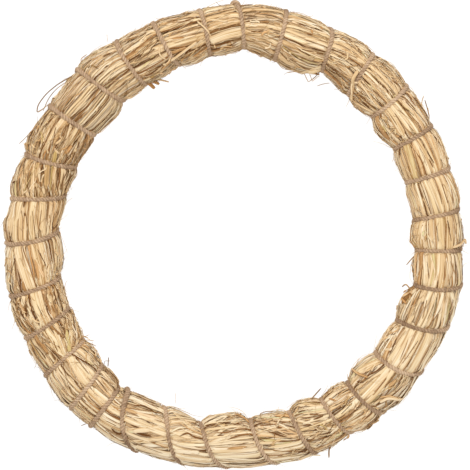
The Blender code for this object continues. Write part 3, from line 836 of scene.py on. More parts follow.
        (1.3, 229.5, 118.6, 231.5, 116), (1.9, 243, 118.6, 247.5, 118.3), (3.2, 274, 119.6, 282, 120.5),
        (2.6, 276, 117.3, 283, 118.6),
    ),
    "tan": (
        (2.6, 3, 129.6, 12, 123.1), (3.2, 3, 147.1, 12, 149), (3.2, 3, 133.5, 12, 127.7),
        (4.5, 13.5, 123.1, 20.5, 119.2), (3.2, 14, 129.6, 24, 130.2), (2.6, 14, 147.7, 24, 148.4),
        (2.6, 28, 143.2, 36, 142.6), (1.9, 41, 116.6, 47.5, 118.6), (2.6, 39, 141.3, 47.5, 140.6),
        (1.9, 38.5, 144.5, 44, 143.9), (5.2, 49.5, 129, 59, 127), (3.9, 61.5, 142.6, 70.5, 140.6),
        (2.6, 62, 147.1, 71, 145.2), (1.9, 73.5, 119.2, 82, 119.6), (3.2, 73, 138.7, 82, 141.9),
        (5.2, 84.3, 138.7, 93.5, 138.7), (3.2, 85, 121.2, 92.5, 117.9), (2.6, 84.5, 126.4, 91, 127),
        (4.5, 94.8, 134.1, 103, 136.1), (3.2, 95, 131.5, 103, 131.5), (2.6, 105, 127, 109, 127.3),
        (3.2, 105, 141.9, 112, 143.2), (3.2, 103.6, 147.6, 109.5, 148.4), (4.5, 117, 133.5, 128, 135.8),
        (2.6, 116.5, 146.4, 125, 147.1), (5.2, 130.5, 121.8, 136.5, 119.2), (3.2, 143, 125.1, 150.5, 125.7),
        (2.6, 144, 118.6, 151, 118.6), (2.6, 157, 117.3, 160.5, 115.3), (2.6, 152, 142.6, 159, 141.9),
        (2.6, 163, 123.1, 170, 117.9), (1.9, 184, 147.1, 193, 148.4), (2.6, 192, 131.5, 198, 129.6),
        (3.2, 192, 125.1, 200, 119.9), (2.6, 201, 131.5, 210, 132.5), (1.9, 208, 149.7, 216, 150.3),
        (1.9, 215, 124.4, 217.5, 128.3), (1.9, 225.5, 139.6, 233, 140), (2.6, 241, 127, 246, 127.7),
        (1.9, 251, 148.4, 255, 143.2), (3.2, 252, 143.2, 255, 140), (1.9, 257, 145.8, 261, 143.2),
        (2.6, 258, 149.7, 265, 147.7), (5.2, 257, 126.4, 268, 129.3), (3.9, 257.5, 122.5, 269, 125.1),
        (1, 274.5, 147.7, 275, 145.2), (3.2, 270, 137.4, 277, 138.3), (2.6, 269.5, 134.8, 280, 134.5),
        (4.5, 272, 124.1, 281, 125.7), (1.9, 276, 115, 284, 114.7), (1.3, 282, 137.4, 286, 141.3, 291, 141.9),
        (1.9, 284, 132.8, 291, 135.4), (2.6, 284.5, 122.8, 292, 124.1), (2.6, 285, 117.6, 293, 119.9),
        (1.9, 293, 147.4, 298, 148.7, 304, 146.4), (3.2, 294, 133.8, 304.5, 134.5),
        (3.2, 297, 131.2, 304.5, 131.5), (1, 306.5, 142.9, 316.5, 143.2), (1.3, 321, 119.9, 328, 119.6),
        (1, 322, 116.6, 329, 117), (1, 319, 145.8, 324, 146.1), (1.9, 334, 141.3, 338, 141.6),
        (3.2, 333, 132.8, 339, 131.2), (1.3, 330, 121.7, 339, 122.9), (3.2, 341, 145.5, 350.5, 146.4),
        (1.9, 341.5, 135.8, 350.5, 135.4), (2.6, 346.5, 125.1, 351, 127.7), (2.6, 353, 147.7, 359.5, 149.4),
        (1.9, 353.5, 135.1, 361, 140.3), (1.9, 354, 120.5, 361, 123.1),
    ),
    "olive": (
        (5.2, 61.5, 125.7, 71.5, 121.8), (1.9, 73.5, 117, 82, 117.9), (1.3, 85, 116, 91, 114.4),
        (0.8, 95, 129, 102, 131.5), (0.5, 95, 126, 99, 127), (3.2, 94, 145.8, 103, 147.1),
        (1, 180, 116.3, 185, 116, 187, 117.3), (1.9, 236, 146.4, 243, 148.4), (1.3, 258.5, 147.7, 260.5, 146.4),
    ),
    "green": (
        (2.6, 236, 129.6, 241.5, 123.1), (1.3, 282, 143.2, 285, 145.8), (0.8, 284, 122.5, 291.5, 126.4),
        (2.6, 293.7, 125.1, 296.3, 127.9),
    ),
    "light": (
        (1, 8, 138, 9.5, 135.4, 9, 131.5), (2.6, 3, 136.7, 12, 138), (1, 17.5, 129.9, 25, 127.7),
        (2.2, 20.2, 116.2, 26.8, 120.5), (2.2, 20.4, 116.8, 26.8, 122.5), (2.2, 20.8, 117.6, 26.8, 124.5),
        (1.9, 14, 138, 25, 137.4), (1.9, 14, 140.6, 25, 143.9), (1.9, 28, 133.5, 37, 134.1),
        (2.6, 28, 139.3, 37, 140.6), (1.9, 28, 128.3, 37, 127.7), (1.6, 38.5, 135.8, 48, 134.8),
        (1.3, 38.5, 133.2, 48, 131.5), (1.6, 39, 138, 47, 138.3), (1.9, 39, 128.3, 47.5, 125.1),
        (2.6, 50, 131.5, 59, 132.2), (1.9, 50, 138.3, 58, 140), (1.3, 50, 142.6, 59, 141.3),
        (1.9, 61.5, 133.5, 71.5, 135.8), (1.9, 61.5, 136.7, 71, 137.4), (2.6, 61.5, 130.9, 71.5, 132.2),
        (3.2, 73.5, 135.4, 82.5, 138.7), (2.6, 73.2, 131.2, 82, 135.4), (2.6, 73.5, 127, 82, 131.5),
        (5.2, 84.3, 132.2, 93.5, 132.8), (0.6, 87.5, 123.1, 91, 126.4, 92.5, 127.7),
        (2.6, 84.3, 144.5, 91.5, 143.9), (1.6, 94.8, 137.4, 102, 140.6), (1.9, 95, 123.4, 101, 125.1),
        (1.9, 96, 127.7, 103, 128.3), (1.9, 105.5, 134.5, 115, 133.5), (3.2, 112.5, 125.1, 116.5, 123.8),
        (2.6, 110, 131.5, 116, 130.9), (5.2, 117, 139.3, 128, 142.6), (4.5, 117, 128.3, 128, 131.5),
        (3.2, 117, 125.1, 127.5, 127), (1.9, 120.1, 121.8, 123.5, 117.3),
        (1, 129.5, 139.3, 131.5, 141.9, 134, 141.6), (3.2, 130.5, 132.2, 141, 136.1),
        (3.2, 130.5, 129, 141.5, 131.5), (1.3, 130.5, 127.7, 141, 128.3), (2.6, 142.3, 138.7, 146, 136.1),
        (3.2, 142, 144.5, 149, 144.2), (2.6, 142.5, 141.6, 149, 140.3), (1.9, 151.5, 138.3, 154, 140),
        (0.6, 154, 140, 157, 138), (1.3, 154.5, 138, 160.5, 132.8), (1.6, 152.5, 129, 160, 127),
        (1.6, 152.5, 125.7, 159, 121.2), (1.9, 152, 122.5, 157, 117.3), (1.9, 152.5, 132.2, 161, 130.2),
        (1.3, 158.6, 151, 168, 148.4), (2.6, 162, 146.4, 171, 143.9), (2.6, 162.5, 140.6, 172, 138.7),
        (2.6, 162.5, 138, 171, 136.1), (0.6, 162.3, 132.2, 165, 125.1), (0.6, 162.3, 129.6, 164, 123.8),
        (1, 166, 123.1, 173.5, 126.4), (1.9, 165.5, 134.5, 173, 132.2), (1.6, 173, 143.2, 183, 144.5),
        (3.2, 174, 140, 184, 141.3), (2.6, 174.5, 136.4, 185, 137.4), (1.3, 175, 131.5, 186, 133.2),
        (1, 176, 127.7, 186, 132.8), (1.6, 175, 124.4, 187, 129.9), (1.9, 177, 121.2, 188, 124.4),
        (1.9, 181, 117.9, 190, 121.2), (4.5, 184.5, 143.9, 195, 143.9), (2.6, 186, 140.6, 196, 139.3),
        (1.3, 188.5, 132.2, 196, 134.5), (1, 189.5, 129.6, 196, 127), (5.2, 196, 145.2, 206, 147.7),
        (1, 198.5, 134.8, 203, 140, 206, 141.6), (1, 199.5, 137.4, 204.5, 140.9),
        (3.2, 199.5, 133.5, 210, 135.4), (2.6, 200.5, 128.3, 209, 129.6), (1.3, 212, 143.2, 217, 144.5),
        (1.9, 212, 139.6, 216.5, 140.6), (1.9, 214, 129.6, 217, 130.2), (1, 218.5, 149.7, 220.5, 147.7),
        (1.3, 218.5, 150.3, 223.5, 149.7), (1.3, 218.5, 147.1, 223.5, 146.4), (1.3, 218.5, 144.5, 223.5, 144.2),
        (3.2, 218.5, 135.4, 223.5, 135.4), (3.2, 219, 123.1, 225, 121.2), (1.3, 225, 147.7, 233, 147.7),
        (1.3, 225, 145.2, 233, 144.5), (1.3, 225, 141.9, 233, 141.9), (5.8, 225.5, 133.5, 233.8, 130.2),
        (3.2, 225.5, 128.3, 233, 128.6), (4.5, 228, 121.5, 234.5, 123.8), (3.2, 226, 125.4, 230.5, 127),
        (2.6, 235.5, 144.2, 238, 143.2), (3.9, 236, 131.9, 240.5, 136.4), (5.2, 238.5, 132.2, 243.8, 135.4),
        (1.9, 238, 123.1, 246, 119.2), (1.3, 246.5, 145.2, 250.5, 147.4), (2.6, 246, 130.1, 255, 129.9),
        (2.6, 248.5, 117.9, 255.5, 117.9), (5.8, 256.5, 135.1, 268, 140.9), (2.6, 256.8, 131.9, 267.5, 136.7),
        (2.6, 260, 117, 270, 117), (1.6, 261, 114.4, 270, 115.3), (3.9, 270, 141.3, 279.5, 141.3),
        (4.5, 270, 130.2, 280, 131.2), (1.3, 282.5, 135.4, 286, 139.3, 290.5, 140.3),
        (3.2, 284.5, 125.1, 292, 129.6), (1.9, 286, 115.3, 293.5, 115.7), (1, 296, 138, 299.5, 142.2),
        (2.6, 297, 123.4, 304.5, 123.4), (1.9, 298, 117.9, 305, 119.2), (1.2, 306.5, 134.6, 317, 134),
        (1.0, 306.5, 133, 317, 132.4), (1, 307, 119.3, 317.5, 119.6), (0.9, 308, 131.2, 316, 130.9),
        (1.2, 322.5, 149, 327.5, 145.2), (1.2, 319.5, 134, 327.5, 133.3), (1.0, 319.5, 132.2, 327.5, 131.5),
        (1.2, 320, 125.5, 327.5, 125.9), (1.0, 320, 123.9, 327.5, 124.3), (1, 319.5, 139, 326, 139.3),
        (1.9, 330.5, 148.4, 338.5, 142.2), (1.3, 335, 146.1, 339, 142.6), (1.9, 334, 129, 338.5, 129.3),
        (2.6, 329.5, 125.1, 339, 125.7), (2.6, 330.5, 117.9, 338, 118.6), (1.9, 330, 138.7, 337, 139),
        (2.6, 341, 142.1, 351, 142.9), (1.3, 341.5, 138.3, 350.5, 139.3), (3.9, 341, 130.9, 350.5, 131.5),
        (3.9, 352.5, 141.6, 360.5, 143.9), (5.8, 353.5, 127.7, 361, 133.2),
    ),
    "pale": (
        (3.2, 14, 134.8, 21, 133.8), (1.9, 50, 135.4, 59.5, 136.1), (1.6, 73.5, 121.5, 81, 122.5),
        (0.6, 86, 123.1, 92.5, 123.8), (2.6, 105, 138.7, 112, 138.3), (3.2, 105.5, 130.6, 110, 129.6),
        (3.2, 143.5, 130.2, 150, 132.2), (0.8, 164, 127.7, 167, 121.8), (1.9, 189, 134.1, 196, 136.7),
        (3.9, 203, 121.5, 213, 123.1), (2.6, 212.5, 134.8, 217, 135.4), (3.2, 218.5, 132.2, 223.5, 132.2),
        (3.2, 246.3, 137.7, 249.3, 140.8), (1.9, 248.5, 139.3, 251.5, 140.3), (5.2, 245.5, 133.2, 255, 133.8),
        (2.3, 250.5, 125.1, 253.5, 125.4), (0.6, 260, 144.5, 261, 142.9), (1.9, 275, 143.9, 279.5, 144.5),
        (1.9, 274.5, 140, 279.5, 139.3), (1.4, 287.3, 136.7, 288.7, 136.1), (0.9, 300.2, 143.5, 302.5, 141.9),
        (1, 306.5, 123.8, 317.5, 124.8), (0.9, 306.5, 122.4, 317.5, 123.4), (1, 328.9, 131.5, 332.5, 128.6),
        (0.9, 340.5, 121.5, 350.8, 130.2), (0.6, 358.5, 148.4, 360.5, 144.5), (0.8, 359.3, 127, 359.3, 125.4),
    ),
}


# How pale most straw is, how wide a narrow blade is at most, and how far it lies above its look's lift in mm
USUAL_PALE, NARROW, NARROW_LIFT = 0.62, 0.0013, 0.2


def lay_single_blade(heap, draw, look, width, marks):
    """A blade on the front along these marks. An end close to the twine goes on under it, any other tapers."""
    tone, tint, depth, lift = LOOKS[look]
    width = width * MM * (1.2 if look == "gap" else 1)
    overs = [over_at(angle, radius * MM) for angle, radius in marks]
    places = np.array([(turns_at(mark[0], over), over) for mark, over in zip(marks, overs)])
    hidden = []
    for end, before in ((0, 1), (-1, -2)):
        twine = round(places[end, 0])
        hidden.append(abs(places[end, 0] - twine) < NEAR_TWINE)
        if hidden[-1]:
            places[end, 0] = twine + math.copysign(PAST_TWINE, places[end, 0] - places[before, 0])
    pitch = pitch_at(places[:, 0].mean(), places[:, 1].mean())
    flat = np.stack([places[:, 0] * pitch, np.radians(places[:, 1]) * HALF_BUNDLE], -1)
    flat = smooth_line(flat, SINGLE_STEP)
    turns, over = flat[:, 0] / pitch, degrees_round(flat[:, 1])
    share = np.linspace(0, 1, len(turns))
    narrow = width < NARROW
    shape = np.ones(len(turns))
    for far, under in zip((share, 1 - share), hidden):
        if not under:
            shape *= np.clip(0.15 + far * (4 if narrow else draw.uniform(3, 6)), 0, 1)
    wave = np.sin(share * draw.uniform(2, 7) + draw.uniform(0, 6))
    rises = 0 if look == "gap" else NARROW_LIFT if narrow else 0.08 * wave
    centre, outward = skin(turns, over, (lift + rises) * MM, SINGLE_SHARPNESS)
    thickness = draw.uniform(0.0001, 0.0002) if narrow else draw.uniform(0.00016, 0.00026)
    roll = np.radians(draw.normal(0, 2 if look == "gap" else 4)) * np.sin(share * math.pi)
    sides = 4 if narrow else 6
    curl = 0.0 if narrow else draw.uniform(0.0, 0.03)
    outlines, across = flat_outlines(centre, outward, width * shape, thickness, curl, roll, sides)
    around = LIE[int(turns.mean()) % len(LIE), PALE] - USUAL_PALE
    # Blades other than gaps take their bulge's paleness, and painted light near the rims, where the lamps light
    # them less
    if look != "gap":
        tone += 0.6 * around + 0.1 * math.cos(math.radians(over.mean())) ** 4 - (0.05 if narrow else 0)
    tone, tint = tone + draw.normal(0, 0.06), tint + draw.normal(0, 0.06)
    heap.add(outlines, tone, tint, depth, across * width, sharp=(0, sides // 2))


def lay_single_blades(heap, settings):
    """All the single blades of the table above."""
    draw = np.random.default_rng(settings.seed + 4)
    for look, blades in SINGLE_BLADES.items():
        for width, *way in blades:
            lay_single_blade(heap, draw, look, width, list(zip(way[0::2], way[1::2])))


def length_by_lot(draw, usual, spread, least, most):
    """A length near the usual one."""
    return float(np.clip(draw.lognormal(math.log(usual), spread), least, most))


def lay_bit(heap, draw, turns, over, lift, size, tone, tint):
    """A torn bit of blade, folded at two places and standing off the surface at one end."""
    steps = size * draw.uniform(0.6, 1.4, 3) / 3
    way = draw.normal(0, 0.45) + (math.pi if draw.random() < 0.5 else 0)
    ways = way + np.cumsum(draw.normal(0, 0.45, 3) * (0, 1, 1))
    folds = np.stack([np.cos(ways), np.sin(ways)], -1) * steps[:, None]
    marks = np.cumsum(np.append([[0.0, 0.0]], folds, 0), 0)
    heights = size * np.array((0, draw.uniform(0, 0.14), draw.uniform(0, 0.14), draw.uniform(-0.05, 0.25)))
    if draw.random() < 0.5:
        heights = heights[::-1]
    at = np.array((0, 0.5, 0.85, 1.15, 1.5, 1.85, 2.15, 2.5, 3.0))
    reach, aside, stand = (np.interp(at, range(4), part) for part in (marks[:, 0], marks[:, 1], heights))
    centre, outward = skin(turns + reach / pitch_at(turns, over), over + degrees_round(aside), lift)
    centre = centre + outward * stand[:, None]
    ends = np.minimum(at, 3 - at)
    width = draw.uniform(0.0004, 0.0016) * np.clip(draw.uniform(0.1, 0.9) + ends * 1.2, 0, 1)
    roll = draw.normal(0, 0.3) + draw.normal(0, 0.6, 3)[np.minimum(at.astype(int), 2)]
    outlines, across = flat_outlines(centre, outward, width, draw.uniform(0.0002, 0.0004), 0.1, roll, 4)
    heap.add(outlines, tone, tint, 0.0, across * width.max(), sharp=(0, 2))


# Where the straw is crumpled: from and to which angle, from and to which radius in mm, how many bits, and
# how pale they are.
CRUMPLES = (
    (6, 10, 132, 140, 12, 0.64),
    (14, 24, 118, 128, 14, 0.60),
    (28, 34, 124, 132, 22, 0.66),
    (27, 38, 140, 149, 22, 0.60),
    (38, 46, 117, 127, 22, 0.40),
    (38, 48, 142, 150, 16, 0.60),
    (50, 59, 117, 126, 26, 0.46),
    (62, 70, 143, 150, 10, 0.60),
    (87, 103, 116, 124, 30, 0.50),
    (103, 114, 113, 121, 24, 0.60),
    (117, 127, 114, 121, 22, 0.60),
    (127, 137, 138, 148, 18, 0.68),
    (139, 151, 114, 141, 40, 0.66),
    (140, 150, 141, 150, 18, 0.56),
    (151, 159, 132, 144, 20, 0.62),
    (160, 172, 116, 124, 16, 0.60),
    (181, 196, 114, 122, 16, 0.62),
    (223, 234, 114, 124, 16, 0.62),
    (236, 246, 133, 143, 22, 0.42),
    (236, 247, 114, 122, 22, 0.56),
    (245, 254, 137, 149, 28, 0.50),
    (247, 257, 116, 127, 18, 0.66),
    (256, 266, 141, 150, 22, 0.55),
    (258, 268, 114, 124, 16, 0.55),
    (281, 291, 128, 140, 24, 0.60),
    (293, 305, 114, 150, 64, 0.54),
    (307, 318, 142, 152, 24, 0.58),
    (319, 330, 141, 151, 12, 0.56),
    (330, 341, 114, 122, 14, 0.62),
    (343, 351, 117, 126, 14, 0.50),
    (352, 361, 118, 126, 14, 0.50),
)


# The share of those bits that is laid, how many more lie in each bulge, and how many more where it is crumpled
BITS_LAID, BITS_EACH, BITS_MORE = 0.5, 3, 10


def lay_bits(heap, settings):
    """Torn bits: many where the straw is crumpled, and a few everywhere."""
    draw = np.random.default_rng(settings.seed + 1)
    for low, high, near, far, count, pale in CRUMPLES:
        for _ in range(int(count * BITS_LAID * settings.crumple)):
            angle = draw.uniform(low, high)
            over = over_at(angle, draw.uniform(near, far) * MM)
            size = length_by_lot(draw, 0.0052, 0.4, 0.002, 0.011)
            lay_bit(heap, draw, turns_at(angle, over), over, draw.uniform(0.0, 0.5) * MM, size,
                    pale + draw.normal(-0.08, 0.15), blade_tint(draw))
    for number, row in enumerate(LIE):
        for _ in range(int((BITS_EACH + row[CRUMPLED] * BITS_MORE) * settings.crumple)):
            size = length_by_lot(draw, 0.006, 0.4, 0.0025, 0.014)
            turns, over = number + draw.uniform(0.1, 0.9), draw.uniform(-40, 320)
            lay_bit(heap, draw, turns, over, draw.uniform(-0.3, 0.2) * MM, size,
                    row[PALE] + draw.normal(-0.06, 0.15), blade_tint(draw))


def lay_fibre(heap, draw, turns, over, length, radius, way, stand, tone, tint):
    """A thin fibre that follows the surface and lifts off towards one end."""
    count = 8
    share = np.linspace(0, 1, count)
    reach = share * length
    turned = way + draw.normal(0, 0.5) * share
    winding = turns + np.cumsum(np.cos(turned)) * length / count / pitch_at(turns, over)
    centre, outward = skin(winding, over + degrees_round(np.cumsum(np.sin(turned)) * length / count), 0.0001)
    off = stand * share ** draw.uniform(1.5, 3) + 0.03 * length * np.sin(reach / length * draw.uniform(2, 8))
    centre = centre + outward * np.maximum(off, -0.0002)[:, None]
    thin = radius * np.clip(1.15 - share * 0.8, 0.25, 1)
    outlines, across = round_outlines(centre, outward, thin, 3)
    heap.add(outlines, tone, tint, 0.0, across * radius * 2)


# How many fibres lie in each bulge, how many more where it is crumpled, and the share on the sides that show
FIBRES_EACH, FIBRES_MORE, FIBRES_SHOWN = 34, 46, 0.75


def lay_fibres(heap, settings):
    """Loose fibres and fine broken ends all over."""
    draw = np.random.default_rng(settings.seed + 2)
    for number, row in enumerate(LIE):
        for _ in range(int((FIBRES_EACH + FIBRES_MORE * row[CRUMPLED]) * settings.fibres)):
            over = draw.uniform(-45, 225) if draw.random() < FIBRES_SHOWN else draw.uniform(225, 315)
            slant = math.radians(slant_at(row, over) + draw.normal(0, 20))
            way = slant + (math.pi if draw.random() < 0.5 else 0)
            length = length_by_lot(draw, 0.010, 0.55, 0.003, 0.032)
            stand = float(np.clip(draw.exponential(0.0016), 0, 0.0055))
            turns, radius = number + draw.uniform(0.05, 0.95), draw.uniform(0.00008, 0.00026)
            tone = row[PALE] + draw.normal(-0.05, 0.2)
            lay_fibre(heap, draw, turns, over, length, radius, way, stand, tone, 0.2)


def front_point(angle, radius, lift):
    """A point lift mm off the front at a radius in mm, or beside the bundle and lift mm above its middle."""
    angle = angle % 360
    middle, half = bundle_at(angle)
    if abs(radius * MM - middle) < 0.97 * half:
        over = over_at(angle, radius * MM)
        place, outward = skin(np.array(turns_at(angle, over)), np.array(over), np.array(0.0))
        return place + outward * lift * MM
    turn = math.radians(angle)
    return np.array(
        (
            RING_CENTRE[0] + radius * MM * math.sin(turn),
            RING_CENTRE[1] + radius * MM * math.cos(turn),
            CENTRE_HEIGHT + lift * MM,
        )
    )


# Single straws that stand out in the wreath: marks along each one as angle, radius and height off the
# straw in mm, its width and thickness in mm, how pale and how brown it is.
STRAYS = (
    # a thin straw looped out past the edge
    ((305.6, 148.4, 3), (303.4, 150.2, 4), (302.6, 151.4, 4), (303.3, 152.6, 4),
     (306.4, 153.6, 3), (310.2, 152.2, 2), (315.1, 147.6, 1), 0.75, 0.4, 0.30, 0.0),
    ((303.6, 148.8, 2), (307, 150.4, 3), (309.8, 150.4, 2), (313.4, 148.4, 1), 0.55, 0.3, 0.36, 0.0),
    # a tuft of frayed ends at the inner edge
    ((239.0, 120.5, 0), (237.4, 117.0, 1), (235.8, 114.6, 1), 0.5, 0.3, 0.6, 0.4),
    ((238.0, 119.0, 0), (236.2, 115.6, 2), (234.2, 113.8, 2), 0.4, 0.3, 0.7, 0.2),
    ((236.4, 118.5, 0), (235.0, 115.0, 2), (233.8, 112.4, 3), 0.4, 0.3, 0.6, 0.6),
    ((235.2, 118.0, 0), (233.6, 115.2, 1), (232.0, 113.6, 1), 0.5, 0.3, 0.5, 0.8),
    ((237.2, 118.5, 0), (236.6, 115.0, 1), (236.4, 112.8, 1), 0.35, 0.3, 0.7, 0.3),
    ((234.4, 117.6, 0), (232.4, 115.6, 1), (230.4, 114.8, 1), 0.4, 0.3, 0.55, 0.6),
    ((240.4, 119.8, 0), (239.2, 117.0, 1), (238.4, 114.8, 1), 0.4, 0.3, 0.6, 0.3),
    # straws that cross the wreath at the left of the top
    ((340.2, 121.3, 1.2), (344.5, 125.0, 1.7), (349.0, 128.7, 0.8), 1.7, 0.3, 0.72, 0.1),
    ((338.6, 132.0, 0.8), (337.9, 128.0, 1.5), (338.9, 123.6, 0.8), 1.1, 0.3, 0.66, 0.1),
    ((350.3, 141.0, 1.4), (352.6, 134.5, 1.9), (354.3, 124.2, 1.2), 1.1, 0.3, 0.66, 0.1),
    # a brown stub on the inner edge
    ((330.6, 119, 0), (331.2, 114, 2), (331.9, 109.9, 1), 2.6, 0.5, 0.30, 0.9),
    ((332.0, 119, 0), (332.8, 114, 2), (333.9, 111.0, 1), 2.6, 0.5, 0.26, 0.8),
    ((333.5, 119, 0), (334.8, 113.5, 1), (337.2, 109.8, 0), 1.5, 0.3, 0.42, 0.2),
    # the brown underside of a folded blade, and the wisps under it
    ((27.4, 119.4, 1.0), (23.8, 117.2, 1.8), (20.2, 115.2, 1.0), 2.0, 0.3, 0.28, 0.4),
    ((27.6, 121.6, -0.6), (25.2, 120.0, 1.6), (21.4, 118.2, 2.2), 3.4, 0.3, 0.60, 0.0),
    ((22.9, 116.0, 0.5), (24.0, 114.0, 0.5), (25.3, 112.0, 0.5), 0.5, 0.4, 0.5, 0.5),
    ((25.3, 112.0, 0.5), (26.4, 116.0, 0.5), (27.4, 121.7, 0.8), 0.6, 0.4, 0.45, 0.5),
    ((24.4, 117.5, 0.5), (26.4, 113.5, 0.5), 0.4, 0.3, 0.4, 0.5),
    ((26.4, 113.5, 0.5), (27.4, 118.4, 0.5), 0.4, 0.3, 0.55, 0.3),
    ((28.5, 112.5, -2), (30.0, 115.5, 0), (31.5, 118, 0), 0.4, 0.3, 0.65, 0.2),
    ((17.5, 112.6, -2), (19.5, 114.5, 0), (21.5, 116.5, 0), 0.5, 0.3, 0.7, 0.1),
    # a blade folded across the twine
    ((36.4, 134, 1.5), (36.6, 129, 3.2), (38.0, 124, 3.2), (40.3, 118.5, 1.2), 2.2, 0.3, 0.50, 0.1),
    ((38.5, 127.5, 0.8), (37.4, 126.5, 2.8), (39.3, 121, 2.0), 1.4, 0.3, 0.62, 0.2),
    # curling ends at the outer edge
    ((53.0, 153.2, 4), (53.8, 150.5, 2), (55.0, 147.5, 1), 0.6, 0.35, 0.35, 0.5),
    ((54.0, 152.0, 6), (56.0, 150.4, 4), (58.0, 147.5, 2), 0.7, 0.35, 0.4, 0.5),
    ((56.0, 150.8, 5), (58.5, 147.8, 1), 0.5, 0.3, 0.5, 0.4),
    # a folded stub at the right
    ((92.4, 140.5, 0.8), (91.6, 145, 1.2), (90.7, 149.6, 3), (91.4, 149.8, 3), 1.7, 0.45, 0.60, 0.3),
    # a twig at the inner edge
    ((94.2, 120, 0.6), (96.0, 116.5, 1), (98.8, 112.8, 0), 0.75, 0.6, 0.2, 0.6),
    # a dark strip laid as painted shade in a hollow, and torn bits round it
    ((107.6, 119.6, 0.5), (109.3, 117.6, 0.8), (111.2, 116.8, 0.5), 3.6, 0.3, 0.06, 0.6),
    ((107.2, 119.5, 0.4), (108.6, 117, 1.8), (109.5, 114.8, 1.2), 2.6, 0.3, 0.62, 0.5),
    ((110.8, 119.0, 0.6), (109.9, 116.6, 1.9), (109.6, 114.8, 1.0), 1.6, 0.3, 0.38, 0.9),
    ((106.4, 117.4, 0.2), (105.3, 114.2, 1.0), (106.2, 113.0, 0.4), 0.9, 0.3, 0.45, 0.4),
    # curved blades that cross outwards
    ((138.5, 140.5, 0.6), (136.2, 141.5, 1.8), (134.6, 145.5, 2.2), (133.6, 150.8, 4), 2.0, 0.35, 0.70, 0.2),
    ((137.5, 138.5, 0.5), (135.6, 141, 1.5), (134.4, 145.8, 2.0), (134.4, 149.6, 2), 1.2, 0.3, 0.52, 0.5),
    ((130.6, 121.8, 0.2), (134.2, 119.6, 0.7), (137.4, 118.4, 1.1), 4.8, 0.35, 0.64, 0.0),
    ((138.0, 115.0, 1.2), (137.6, 119.2, 1.9), (136.2, 124.2, 1.0), 1.5, 0.35, 0.42, 0.5),
    # frayed ends and a twig below
    ((143.5, 148, 1), (145.2, 150.6, 3), 0.9, 0.3, 0.45, 0.5),
    ((144.0, 147.5, 0), (145.7, 149.4, 1), 0.7, 0.3, 0.4, 0.6),
    ((155.3, 146.5, 2), (156.0, 150.4, 3), (156.7, 154.6, 2), 1.0, 0.8, 0.15, 0.6),
    ((163.5, 147.5, 1), (160.5, 149.2, 2), (158.4, 151.2, 2), 1.5, 0.4, 0.75, 0.1),
    ((150.0, 112.2, 0), (152.0, 113.5, 1), (154.3, 115.0, 1), 0.8, 0.5, 0.3, 0.4),
    # a kinked straw at the inner edge
    ((167.2, 115.0, 0), (169.8, 114.2, 0), (171.2, 114.6, 1), (171.9, 116.2, 1), 0.6, 0.5, 0.35, 0.3),
    # thin fibres into the middle and past the edge
    ((199.7, 113.6, 4), (200.2, 110.5, 5), (200.9, 107.0, 5), 0.2, 0.2, 0.45, 0.2),
    ((217.6, 150.5, 2), (218.6, 153.5, 2), (219.3, 157.0, 1), 0.45, 0.4, 0.25, 0.4),
    ((224.6, 116.8, 0), (225.6, 114.4, 1), (226.6, 112.2, 1), 0.6, 0.3, 0.5, 0.4),
    ((225.8, 117.4, 0), (226.5, 116.2, 0), (225.4, 113.2, 1), 0.35, 0.3, 0.3, 0.4),
    ((271.6, 146.8, 1), (273.0, 149.6, 2), (274.6, 149.4, 2), (275.6, 147.0, 0), 0.8, 0.5, 0.3, 0.6),
    ((307.6, 113.6, 0), (309.0, 111.4, 0), (310.3, 110.6, 0), 0.4, 0.3, 0.3, 0.4),
    ((293.6, 152.4, 1), (295.5, 150.4, 1), (298.0, 148.0, 1), 0.45, 0.3, 0.55, 0.3),
    ((327.0, 151.5, 1), (327.6, 153.8, 2), (328.0, 156.0, 2), 0.3, 0.3, 0.6, 0.1),
    ((318.8, 149.5, 1), (319.3, 152.4, 2), (321.2, 152.8, 1), 0.6, 0.3, 0.6, 0.3),
)


# From how wide on a straw is flat, how far apart the bends of flat and of thin ones are, how much a flat one
# turns its face up, and how much of its tone and tint a thin one keeps
FLAT_FROM, FLAT_STEP, THIN_STEP, FACE_UP = 1.0, 0.0012, 0.0009, 0.8
THIN_TONE, THIN_TINT = 0.45, 0.1


def lay_strays(heap):
    """The single straws of the table above: wide ones are flat, thin ones are round."""
    middle = np.array((*RING_CENTRE, 0.0))
    for *marks, width, thickness, tone, tint in STRAYS:
        flat = width > FLAT_FROM
        centre = smooth_line([front_point(*mark) for mark in marks], FLAT_STEP if flat else THIN_STEP)
        ring = unit((centre - middle) * (1, 1, 0)) * RING_RADIUS + middle + (0, 0, CENTRE_HEIGHT)
        outward = unit(centre - ring)
        share = np.linspace(0, 1, len(centre))
        end = np.minimum(share, 1 - share)
        if flat:
            facing = unit(outward + (0, 0, FACE_UP))
            wide = width * MM * np.clip(0.7 + end * 6, 0, 1)
            roll = 0.2 * np.sin(share * 5)
            outlines, across = flat_outlines(centre, facing, wide, thickness * MM, 0.12, roll)
        else:
            outlines, across = round_outlines(centre, outward, width / 2 * MM * np.clip(0.6 + end * 3, 0, 1), 6)
            tone, tint = THIN_TONE * tone, THIN_TINT * tint
        heap.add(outlines, tone, tint, 0.0, across * width * MM, sharp=(0, 3) if flat else ())


# The core's rows of points for each turn of the twine, the points in a row and the shelves of its map, then
# how deep it lies, how high its ridges are, and its lowest point
CORE_ROWS, CORE_SIDES, CORE_SHELVES = 8, 64, 8
CORE_LIFT, CORE_RIDGES, CORE_LOWEST = -0.0024, 0.0004, 0.0004


